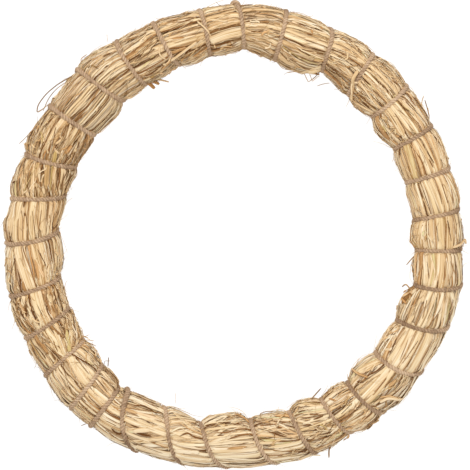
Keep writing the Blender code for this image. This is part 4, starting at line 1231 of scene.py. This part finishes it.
def core_mesh(settings):
    """The packed straw inside the bundle, ridged along the blades and dark with painted shade all over."""
    draw = np.random.default_rng(settings.seed + 3)
    turns = np.arange(len(TURNS) * CORE_ROWS) / CORE_ROWS
    turns, over = np.meshgrid(turns, np.arange(CORE_SIDES) * 360 / CORE_SIDES, indexing="ij")
    ridges = np.repeat(draw.normal(0, 1, (len(TURNS) * 2, CORE_SIDES)), CORE_ROWS // 2, axis=0)
    soft = sum(np.roll(ridges, rows, 0) for rows in (0, 1, 2, -1)) / 4
    points, _ = skin(turns, over, CORE_LIFT + CORE_RIDGES * soft)
    points[..., 2] = np.maximum(points[..., 2], CORE_LOWEST)
    lie = np.stack([over * 0.0003, turns * 0.026, 0 * over], -1)
    around = ((0, 0), (0, 1), (1, 1), (1, 0))
    # The core takes the full painted shade of straw that lies deepest
    values = {"lie": lie, "tone": 0.35, "tint": 0.4, "depth": 1.0}
    return tube_mesh("straw_core", points, (CORE_ROWS, 0), CORE_SHELVES, around, values)


# --- The twine ---


# How far the twine lies off the straw's surface, and how near it comes to the floor
TWINE_OFF, TWINE_LOWEST = 0.0006, 0.0001
# The points round the twine, the length between its rows of points, and the shelves that its map lies on
TWINE_SIDES, TWINE_STEP, TWINE_SHELVES = 15, 0.00078, 18
# How much the twine's thickness and tone change along it, and over what length
LUMPS, LUMP_LENGTH, PATCHES, PATCH_LENGTH = 0.045, 0.004, 0.12, 0.012


def twine_line(diameter, step):
    """Points along the middle of the twine, the way out of the bundle there, and how far along each lies."""
    over = np.arange(0, 360 * len(TURNS), 4.0)
    centre, outward = skin(np.floor(over / 360), over % 360, 0)
    centre = centre + outward * (diameter / 2 + TWINE_OFF)
    closed = np.vstack([centre, centre[:1]])
    ways = np.vstack([outward, outward[:1]])
    reach = np.append(0, np.cumsum(np.linalg.norm(np.diff(closed, axis=0), axis=1)))
    at = np.linspace(0, reach[-1], int(reach[-1] / step), endpoint=False)
    centre, outward = (
        np.stack([np.interp(at, reach, line[:, axis]) for axis in range(3)], -1) for line in (closed, ways)
    )
    for _ in range(3):
        centre = (np.roll(centre, 1, 0) + 2 * centre + np.roll(centre, -1, 0)) / 4
    return centre, unit(outward), at, reach[-1]


def slow_change(draw, at, length, patch):
    """A number that changes by lot along the closed twine, once in each patch of this length."""
    marks = draw.normal(0, 1, int(length / patch))
    return np.interp(at, np.linspace(0, length, len(marks)), marks, period=length)


def twine_mesh(settings):
    """The twine: three strands twisted together, in one closed winding."""
    draw = np.random.default_rng(settings.seed)
    centre, outward, at, length = twine_line(settings.diameter, TWINE_STEP)
    _, across, up = frames(centre, outward, closed=True)
    rows, sides = len(at), TWINE_SIDES
    third = 2 * np.pi / 3
    angle = np.arange(sides) * 2 * np.pi / sides
    off = (angle + np.pi / 3) % third - np.pi / 3
    lobes = 0.5 + 0.6 * (0.5 * np.cos(off) + np.sqrt(0.25 - (0.5 * np.sin(off)) ** 2))
    thirds = round(length / settings.lay_length * 3)
    turn = angle[None, :] + (-2 * np.pi / 3 * thirds * at / length)[:, None]
    radius = settings.diameter / 2 * (1 + LUMPS * slow_change(draw, at, length, LUMP_LENGTH))
    size = radius[:, None] * lobes[None, :]
    points = (
        centre[:, None]
        + across[:, None] * (np.cos(turn) * size)[..., None]
        + up[:, None] * (np.sin(turn) * size)[..., None]
    )
    points[..., 2] = np.maximum(points[..., 2], TWINE_LOWEST)
    strand = np.floor(((angle + np.pi / 3) % (2 * np.pi)) / third)
    places = (off * 0.5 * settings.diameter, at[:, None] * 1.4, strand * 3.1)
    tone = 0.48 + PATCHES * slow_change(draw, at, length, PATCH_LENGTH)
    values = {
        "lie": np.stack([np.broadcast_to(place, (rows, sides)) for place in places], -1),
        "tone": np.repeat(tone, sides),
        # How far into a groove between strands a point lies, which sets its painted shade
        "depth": np.broadcast_to(np.abs(off) / (np.pi / 3), (rows, sides)) ** 3,
    }
    shift = sides // 3 * (thirds % 3)
    around = ((0, 0), (1, 0), (1, 1), (0, 1))
    return tube_mesh("twine_strands", points, (0, -shift), TWINE_SHELVES, around, values)


def lay_fuzz(heap, settings):
    """Short fibres that stand off the twine."""
    draw = np.random.default_rng(settings.seed + 1)
    centre, outward, at, _ = twine_line(settings.diameter, 0.0015)
    along, across, up = frames(centre, outward, closed=True)
    for _ in range(settings.fuzz):
        spot = draw.integers(len(at))
        turn = draw.uniform(-0.2, math.pi + 0.2)
        out = across[spot] * math.cos(turn) + up[spot] * math.sin(turn)
        way = along[spot] * (1 if draw.random() < 0.7 else -1)
        size = length_by_lot(draw, 0.0024, 0.5, 0.0008, 0.006)
        share = np.linspace(0, 1, 5)
        stand = size * draw.uniform(0.12, 0.6) * share ** draw.uniform(1, 2)
        sway = size * draw.normal(0, 0.25) * share**2
        path = (
            centre[spot]
            + out * (settings.diameter * 0.46 + stand)[:, None]
            + way * (size * share)[:, None]
            + np.cross(way, out) * sway[:, None]
        )
        thin = draw.uniform(0.00004, 0.00011) * (1.2 - share)
        outlines, place = round_outlines(path, np.broadcast_to(out, (5, 3)), thin, 3)
        heap.add(outlines, draw.uniform(0.35, 0.95), 0.0, 0.0, place * 0.0001)


def lay_knot(heap, settings):
    """The two ends of the twine, tied in a small knot at the outer edge."""
    centre, out = skin(np.array(0.0), np.array(2.0), 0)
    ahead, _ = skin(np.array(0.0), np.array(14.0), 0)
    way = unit(ahead - centre)
    side = np.cross(way, out)
    middle = centre + out * (settings.diameter / 2 + TWINE_OFF)
    strand = settings.diameter * 0.30
    loop = np.linspace(0, 2 * np.pi * 1.75, 44)
    wrap = settings.diameter / 2 + strand * 0.8
    path = (
        middle
        + out * (np.sin(loop) * wrap)[:, None]
        + side * (np.cos(loop) * wrap)[:, None]
        + way * (np.linspace(-1.0, 1.0, 44) * strand * 1.6)[:, None]
    )
    lines = [path]
    for sign, start in ((-1, path[0]), (1, path[-1])):
        lean = side * sign * 0.002 + way * sign * 0.004
        marks = [start, start + lean * 0.5 + out * 0.0005, start + lean * 1.4 - out * 0.0012]
        lines.append(smooth_line(marks, 0.0005))
    for line in lines:
        outlines, across = round_outlines(line, unit(line - middle), strand, 10)
        # The knot takes a little of the painted groove shade all over
        heap.add(outlines, 0.5, 0.0, 0.1, across * strand * 2)


# --- Colours and finishes ---


def new_group(name, inputs, outputs):
    """An empty node group with these sockets, and its two end nodes."""
    group = bpy.data.node_groups.new(name, "ShaderNodeTree")
    for label, kind, default in inputs:
        socket = group.interface.new_socket(label, in_out="INPUT", socket_type=kind)
        if default is not None:
            socket.default_value = default
    for label, kind in outputs:
        group.interface.new_socket(label, in_out="OUTPUT", socket_type=kind)
    return group, group.nodes.new("NodeGroupInput"), group.nodes.new("NodeGroupOutput")


def maths(tree, kind, first, second):
    """A math node fed by two sockets or numbers."""
    node = tree.nodes.new("ShaderNodeMath")
    node.operation = kind
    for socket, value in zip(node.inputs, (first, second)):
        if isinstance(value, bpy.types.NodeSocket):
            tree.links.new(value, socket)
        else:
            socket.default_value = value
    return node.outputs[0]


def noise(tree, places, detail):
    """Soft noise at these places."""
    node = tree.nodes.new("ShaderNodeTexNoise")
    node.inputs["Scale"].default_value = 1.0
    node.inputs["Detail"].default_value = detail
    tree.links.new(places, node.inputs["Vector"])
    return node


def vector(tree, *parts):
    """A vector of three sockets."""
    node = tree.nodes.new("ShaderNodeCombineXYZ")
    for socket, part in zip(node.inputs, parts):
        tree.links.new(part, socket)
    return node.outputs[0]


def plant_fibre_group():
    """The grain of dry plant fibre: streaks along a blade or strand, and slow patches of colour."""
    group, given, found = new_group(
        "plant_fibre",
        (
            ("Lie", "NodeSocketVector", None),
            ("Streaks per mm", "NodeSocketFloat", 2.5),
            ("Streak length", "NodeSocketFloat", 14.0),
            ("Patch size", "NodeSocketFloat", 9.0),
        ),
        (("Streak", "NodeSocketFloat"), ("Patch", "NodeSocketFloat"), ("Height", "NodeSocketFloat")),
    )
    split = group.nodes.new("ShaderNodeSeparateXYZ")
    group.links.new(given.outputs["Lie"], split.inputs[0])
    across = maths(group, "MULTIPLY", split.outputs[0], 1000.0)
    across = maths(group, "MULTIPLY", across, given.outputs["Streaks per mm"])
    along = maths(group, "MULTIPLY", split.outputs[1], 1000.0)
    seed = maths(group, "MULTIPLY", split.outputs[2], 17.0)
    streak_along = maths(group, "DIVIDE", along, given.outputs["Streak length"])
    patch_along = maths(group, "DIVIDE", along, given.outputs["Patch size"])
    fine = noise(group, vector(group, across, streak_along, seed), 3.0)
    fine.inputs["Roughness"].default_value = 0.62
    patch_across, patch_seed = maths(group, "MULTIPLY", across, 0.15), maths(group, "ADD", seed, 40.0)
    slow = noise(group, vector(group, patch_across, patch_along, patch_seed), 2.0)
    height = maths(group, "ADD", fine.outputs["Fac"], maths(group, "MULTIPLY", slow.outputs["Fac"], 0.4))
    for socket, label in ((fine.outputs["Fac"], "Streak"), (slow.outputs["Fac"], "Patch"), (height, "Height")):
        group.links.new(socket, found.inputs[label])
    return group


def attribute(tree, name, output="Fac"):
    """What the mesh keeps under a name."""
    node = tree.nodes.new("ShaderNodeAttribute")
    node.attribute_name = name
    return node.outputs[output]


def ramp(tree, value, stops):
    """Colours by value. Each stop is a place and a colour."""
    node = tree.nodes.new("ShaderNodeValToRGB")
    tree.links.new(value, node.inputs["Fac"])
    stops, line = list(stops), node.color_ramp
    while len(line.elements) < len(stops):
        line.elements.new(0.5)
    for element, (place, colour) in zip(line.elements, stops):
        element.position = place
        element.color = (*colour, 1)
    return node.outputs["Color"]


def blend(tree, share, colour, stain):
    """A colour multiplied by a stain, by a share."""
    node = tree.nodes.new("ShaderNodeMix")
    node.data_type = "RGBA"
    node.blend_type = "MULTIPLY"
    colour_in, stain_in = (socket for socket in node.inputs if socket.type == "RGBA")
    tree.links.new(share, node.inputs["Factor"])
    tree.links.new(colour, colour_in)
    stain_in.default_value = (*stain, 1)
    return next(out for out in node.outputs if out.type == "RGBA")


def new_finish(name):
    """A material, its tree and its shader."""
    material = bpy.data.materials.new(name)
    material.use_nodes = True
    tree = material.node_tree
    return material, tree, tree.nodes["Principled BSDF"]


def fibre_tone(tree, grain, streaks_per_mm, streak_length, patch_size, strength):
    """The fibre grain of a finish, and each place's tone: the blade's or strand's own with its streaks."""
    fibre = tree.nodes.new("ShaderNodeGroup")
    fibre.node_tree = grain
    fibre.inputs["Streaks per mm"].default_value = streaks_per_mm
    fibre.inputs["Streak length"].default_value = streak_length
    fibre.inputs["Patch size"].default_value = patch_size
    tree.links.new(attribute(tree, "lie", "Vector"), fibre.inputs["Lie"])
    streak = maths(tree, "MULTIPLY", maths(tree, "SUBTRACT", fibre.outputs["Streak"], 0.5), strength)
    patch = maths(tree, "MULTIPLY", maths(tree, "SUBTRACT", fibre.outputs["Patch"], 0.5), 0.6)
    return fibre, maths(tree, "ADD", maths(tree, "ADD", attribute(tree, "tone"), streak), patch)


def add_bump(tree, shader, height, strength, distance):
    """Relief from a height."""
    bump = tree.nodes.new("ShaderNodeBump")
    bump.inputs["Strength"].default_value = strength
    bump.inputs["Distance"].default_value = distance
    tree.links.new(height, bump.inputs["Height"])
    tree.links.new(bump.outputs["Normal"], shader.inputs["Normal"])


def straw_finish(name, settings, grain):
    """Dry straw: pale gold and streaked along the blade, with painted shade that makes it browner where it lies
    deep and at a blade's edges.
    """
    material, tree, shader = new_finish(name)
    fibre, tone = fibre_tone(
        tree, grain, streaks_per_mm=2.3, streak_length=40.0, patch_size=20.0, strength=1.65
    )
    places = (0.0, 0.3, 0.55, 0.78, 1.0)
    colours = (settings.dark, settings.brown, settings.gold, settings.pale, settings.bleached)
    colour = ramp(tree, tone, zip(places, colours))
    tint = attribute(tree, "tint")
    warm = maths(tree, "MULTIPLY", maths(tree, "MAXIMUM", tint, 0.0), 0.75)
    green = maths(tree, "MULTIPLY", maths(tree, "MAXIMUM", maths(tree, "MULTIPLY", tint, -1.0), 0.0), 0.6)
    # Painted shade, in the shade colour, on straw that lies deep, near the twine, and in the dark gaps and slits
    depth = maths(tree, "MULTIPLY", attribute(tree, "depth"), 0.8)
    # Painted shade along a blade's sharp rims, in the rim shade colour
    edge = maths(tree, "MAXIMUM", maths(tree, "SUBTRACT", attribute(tree, "edge"), 0.42), 0.0)
    edge = maths(tree, "MULTIPLY", maths(tree, "POWER", maths(tree, "MULTIPLY", edge, 1.72), 2.2), 0.75)
    stains = ((warm, settings.rust), (green, settings.green), (depth, settings.shade), (edge, settings.sharp_rim_and_rim_shade))
    for share, stain in stains:
        colour = blend(tree, share, colour, stain)
    tree.links.new(colour, shader.inputs["Base Color"])
    rough = maths(tree, "ADD", maths(tree, "MULTIPLY", fibre.outputs["Streak"], 0.35), 0.38)
    tree.links.new(rough, shader.inputs["Roughness"])
    shader.inputs["Specular IOR Level"].default_value = 0.05
    add_bump(tree, shader, fibre.outputs["Height"], strength=0.5, distance=0.00025)
    return material


def jute_finish(settings, grain):
    """Jute: greyish brown, matt and streaked along each strand, with painted shade in the grooves between the
    strands.
    """
    material, tree, shader = new_finish("jute_fibre")
    fibre, tone = fibre_tone(tree, grain, streaks_per_mm=4.5, streak_length=3.0, patch_size=6.0, strength=1.6)
    colour = ramp(tree, tone, zip((0.1, 0.5, 0.95), (settings.dark, settings.middle, settings.light)))
    # Painted shade in the grooves between the strands, in the groove shade colour
    depth = maths(tree, "MULTIPLY", attribute(tree, "depth"), 0.75)
    tree.links.new(blend(tree, depth, colour, settings.groove_shade), shader.inputs["Base Color"])
    shader.inputs["Roughness"].default_value = 0.88
    shader.inputs["Specular IOR Level"].default_value = 0.2
    add_bump(tree, shader, fibre.outputs["Height"], strength=0.7, distance=0.0003)
    return material


def grain_group():
    """The one fibre grain that all the finishes share."""
    return bpy.data.node_groups.get("plant_fibre") or plant_fibre_group()


# --- Settings ---


def colour_setting(name, text, default):
    """A colour that the user can change."""
    return bpy.props.FloatVectorProperty(
        name=name, description=text, subtype="COLOR", size=3, min=0, max=1, default=default
    )


class StrawSettings(bpy.types.PropertyGroup):
    """How the straw is laid and coloured."""

    seed: bpy.props.IntProperty(name="Seed", description="Which straws are drawn by lot", default=11)
    fullness: bpy.props.FloatProperty(
        name="Fullness", description="How closely blades cover the bundle",
        default=1.0, min=0.1, max=2,
    )
    blade_width: bpy.props.FloatProperty(
        name="Blade Width", description="Times the usual width of a blade",
        default=0.68, min=0.3, max=3,
    )
    crumple: bpy.props.FloatProperty(
        name="Crumple", description="Times the usual number of torn bits",
        default=1.0, min=0, max=3,
    )
    fibres: bpy.props.FloatProperty(
        name="Fibres", description="Times the usual number of loose fibres",
        default=1.0, min=0, max=3,
    )
    bleached: colour_setting("Bleached", "Colour of the palest straw", (0.86, 0.75, 0.56))
    pale: colour_setting("Pale", "Colour of pale straw", (0.80, 0.64, 0.415))
    gold: colour_setting("Gold", "Colour of most straw", (0.725, 0.528, 0.293))
    brown: colour_setting("Brown", "Colour of weathered straw", (0.51, 0.30, 0.125))
    dark: colour_setting("Dark", "Colour of the darkest straw", (0.19, 0.095, 0.032))
    rust: colour_setting("Rust", "What tints the golden brown blades", (0.86, 0.64, 0.44))
    green: colour_setting("Green", "What tints the greenish blades", (0.78, 0.86, 0.50))
    # The colour of the painted shade along the rims of blades
    sharp_rim_and_rim_shade: colour_setting("Rim Shade", "What tints the edges of blades", (0.58, 0.37, 0.20))
    # The colour of the painted shade on straw that lies deep in the bundle
    shade: colour_setting("Shade", "What tints straw deep in the bundle", (0.42, 0.235, 0.10))


class TwineSettings(bpy.types.PropertyGroup):
    """How the twine is made and coloured."""

    seed: bpy.props.IntProperty(name="Seed", description="Which fibres are drawn by lot", default=5)
    diameter: bpy.props.FloatProperty(
        name="Diameter", description="Across the twine",
        default=TWINE_DIAMETER, min=0.001, max=0.01, unit="LENGTH", precision=4,
    )
    lay_length: bpy.props.FloatProperty(
        name="Lay", description="Length of one full twist of the strands",
        default=0.0063, min=0.003, max=0.05, unit="LENGTH", precision=4,
    )
    fuzz: bpy.props.IntProperty(
        name="Fuzz", description="How many short fibres stand off the twine",
        default=2800, min=0, max=6000,
    )
    light: colour_setting("Light", "Colour of clean jute", (0.78, 0.58, 0.385))
    middle: colour_setting("Middle", "Colour of most of the twine", (0.465, 0.31, 0.192))
    dark: colour_setting("Dark", "Colour of jute between the fibres", (0.21, 0.125, 0.068))
    # The colour of the painted shade in the grooves between the strands
    groove_shade: colour_setting("Groove Shade", "What tints the grooves between the strands", (0.4, 0.3, 0.22))


class StageSettings(bpy.types.PropertyGroup):
    """Floor, lights and camera."""

    floor: colour_setting("Floor", "Colour of the floor", (0.12, 0.12, 0.12))
    glow: bpy.props.FloatProperty(
        name="Glow", description="Light that the floor gives of its own",
        default=0.94, min=0, max=2,
    )
    sky: bpy.props.FloatProperty(
        name="Sky", description="Strength of the light from all round",
        default=0.835, min=0, max=3,
    )
    key: bpy.props.FloatProperty(
        name="Key", description="Power of the soft lamp above the top edge",
        default=10.5, min=0, max=200, unit="POWER",
    )
    fill: bpy.props.FloatProperty(
        name="Fill", description="Power of the soft lamp on the other side",
        default=5.5, min=0, max=200, unit="POWER",
    )
    camera_height: bpy.props.FloatProperty(
        name="Camera Height", description="How far the camera is above the wreath's middle",
        default=1.9, min=0.5, max=10, unit="LENGTH",
    )
    view_width: bpy.props.FloatProperty(
        name="View Width", description="Width of the view at the wreath's middle",
        default=0.3046, min=0.1, max=2, unit="LENGTH", precision=4,
    )


# --- Operators ---


def settle(piece, node):
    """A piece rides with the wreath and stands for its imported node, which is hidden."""
    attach(piece, "root")
    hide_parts(node)


class WREATH_OT_core(bpy.types.Operator):
    """Add the packed straw inside the bundle, dark with painted shade"""

    bl_idname = "wreath.core"
    bl_label = "Packed Straw"

    def execute(self, context):
        settings = context.scene.wreath_straw
        mesh = core_mesh(settings)
        mesh.materials.append(straw_finish("packed_straw", settings, grain_group()))
        settle(new_object("straw_core", mesh), "straw_ring")
        return {"FINISHED"}


class WREATH_OT_blades(bpy.types.Operator):
    """Lay the blades of straw round the bundle"""

    bl_idname = "wreath.blades"
    bl_label = "Straw Blades"

    def execute(self, context):
        settings = context.scene.wreath_straw
        heaps = {side: Heap() for side in ("outer", "front", "inner", "back")}
        lay_blades(heaps, settings)
        finish = straw_finish("straw_blade", settings, grain_group())
        for side, heap in heaps.items():
            settle(heap.build(f"straw_blades_{side}", finish), "straw_ring")
        return {"FINISHED"}


class WREATH_OT_loose(bpy.types.Operator):
    """Lay torn bits, loose fibres and the straws that stand out"""

    bl_idname = "wreath.loose"
    bl_label = "Loose Straw"

    def execute(self, context):
        settings = context.scene.wreath_straw
        finish = straw_finish("loose_straw", settings, grain_group())
        single, bits, fibres, strays = Heap(), Heap(), Heap(), Heap()
        lay_single_blades(single, settings)
        lay_bits(bits, settings)
        lay_fibres(fibres, settings)
        lay_strays(strays)
        heaps = {"single_blades": single, "straw_bits": bits, "straw_fibres": fibres, "stray_straws": strays}
        for name, heap in heaps.items():
            settle(heap.build(name, finish), "straw_ring")
        return {"FINISHED"}


class WREATH_OT_twine(bpy.types.Operator):
    """Wind the twisted jute twine round the straw, with its knot and its fuzz"""

    bl_idname = "wreath.twine"
    bl_label = "Jute Twine"

    def execute(self, context):
        settings = context.scene.wreath_twine
        finish = jute_finish(settings, grain_group())
        mesh = twine_mesh(settings)
        mesh.materials.append(finish)
        settle(new_object("twine_strands", mesh), "jute_twine")
        knot, fuzz = Heap(), Heap()
        lay_knot(knot, settings)
        lay_fuzz(fuzz, settings)
        settle(knot.build("twine_knot", finish), "jute_twine")
        settle(fuzz.build("twine_fuzz", finish), "jute_twine")
        return {"FINISHED"}


class WREATH_OT_stage(bpy.types.Operator):
    """Add the floor, the lights and the camera"""

    bl_idname = "wreath.stage"
    bl_label = "Stage"

    def execute(self, context):
        settings = context.scene.wreath_stage
        add_floor(settings)
        add_lights(settings)
        add_camera(settings)
        return {"FINISHED"}


def add_floor(settings):
    """The floor, which gives light of its own, so that it looks white and no hard shadow shows."""
    mesh = bpy.data.meshes.new("floor")
    mesh.from_pydata([(-4, -4, 0), (4, -4, 0), (4, 4, 0), (-4, 4, 0)], [], [(0, 1, 2, 3)])
    material, _, shader = new_finish("floor")
    shader.inputs["Base Color"].default_value = (*settings.floor, 1)
    shader.inputs["Roughness"].default_value = 0.9
    shader.inputs["Emission Color"].default_value = (1, 1, 1, 1)
    shader.inputs["Emission Strength"].default_value = settings.glow
    mesh.materials.append(material)
    floor = new_object("floor", mesh)


def add_lights(settings):
    """Even light from all round and two large soft lamps."""
    world = bpy.data.worlds.new("studio")
    world.use_nodes = True
    sky = world.node_tree.nodes["Background"]
    sky.inputs["Color"].default_value = (1, 1, 1, 1)
    sky.inputs["Strength"].default_value = settings.sky
    bpy.context.scene.world = world
    for name, place, power, size in (
        ("key_lamp", (-0.25, 0.85, 1.30), settings.key, 0.45),
        ("fill_lamp", (0.45, -0.35, 1.8), settings.fill, 0.8),
    ):
        lamp = bpy.data.lights.new(name, "AREA")
        lamp.energy = power
        lamp.shape = "DISK"
        lamp.size = size
        made = new_object(name, lamp)
        made.location = place
        made.rotation_euler = Vector(place).to_track_quat("Z", "Y").to_euler()


# What the photograph's middle looks down on
VIEW_CENTRE = (0.00091, -0.00088)


def add_camera(settings):
    """A camera straight above the wreath, with a long lens."""
    lens = bpy.data.cameras.new("camera")
    lens.sensor_width = 36
    lens.lens = lens.sensor_width * settings.camera_height / settings.view_width
    lens.clip_end = 50
    camera = new_object("camera", lens)
    camera.location = (*VIEW_CENTRE, CENTRE_HEIGHT + settings.camera_height)
    bpy.context.scene.camera = camera
    bpy.context.scene.view_settings.view_transform = "Standard"


class WREATH_PT_panel(bpy.types.Panel):
    """Settings and steps of the straw wreath"""

    bl_idname = "WREATH_PT_panel"
    bl_label = "Straw Wreath"
    bl_space_type = "VIEW_3D"
    bl_region_type = "UI"
    bl_category = "Wreath"

    def draw(self, context):
        layout = self.layout
        for group in (context.scene.wreath_straw, context.scene.wreath_twine, context.scene.wreath_stage):
            box = layout.box()
            for key in group.__annotations__:
                box.prop(group, key)
        for operator in OPERATORS:
            layout.operator(operator.bl_idname)


GROUPS = {"wreath_straw": StrawSettings, "wreath_twine": TwineSettings, "wreath_stage": StageSettings}
OPERATORS = (WREATH_OT_core, WREATH_OT_blades, WREATH_OT_loose, WREATH_OT_twine, WREATH_OT_stage)


def register():
    """Adds the settings, the operators and the panel."""
    for kind in (*GROUPS.values(), *OPERATORS, WREATH_PT_panel):
        bpy.utils.register_class(kind)
    for name, kind in GROUPS.items():
        setattr(bpy.types.Scene, name, bpy.props.PointerProperty(type=kind))


def unregister():
    """Takes them away again."""
    for name in GROUPS:
        delattr(bpy.types.Scene, name)
    for kind in (WREATH_PT_panel, *reversed(OPERATORS), *reversed(GROUPS.values())):
        bpy.utils.unregister_class(kind)


def main():
    """Builds the wreath."""
    register()
    for step in ("stage", "core", "blades", "loose", "twine"):
        getattr(bpy.ops.wreath, step)()


if __name__ == "__main__":
    main()
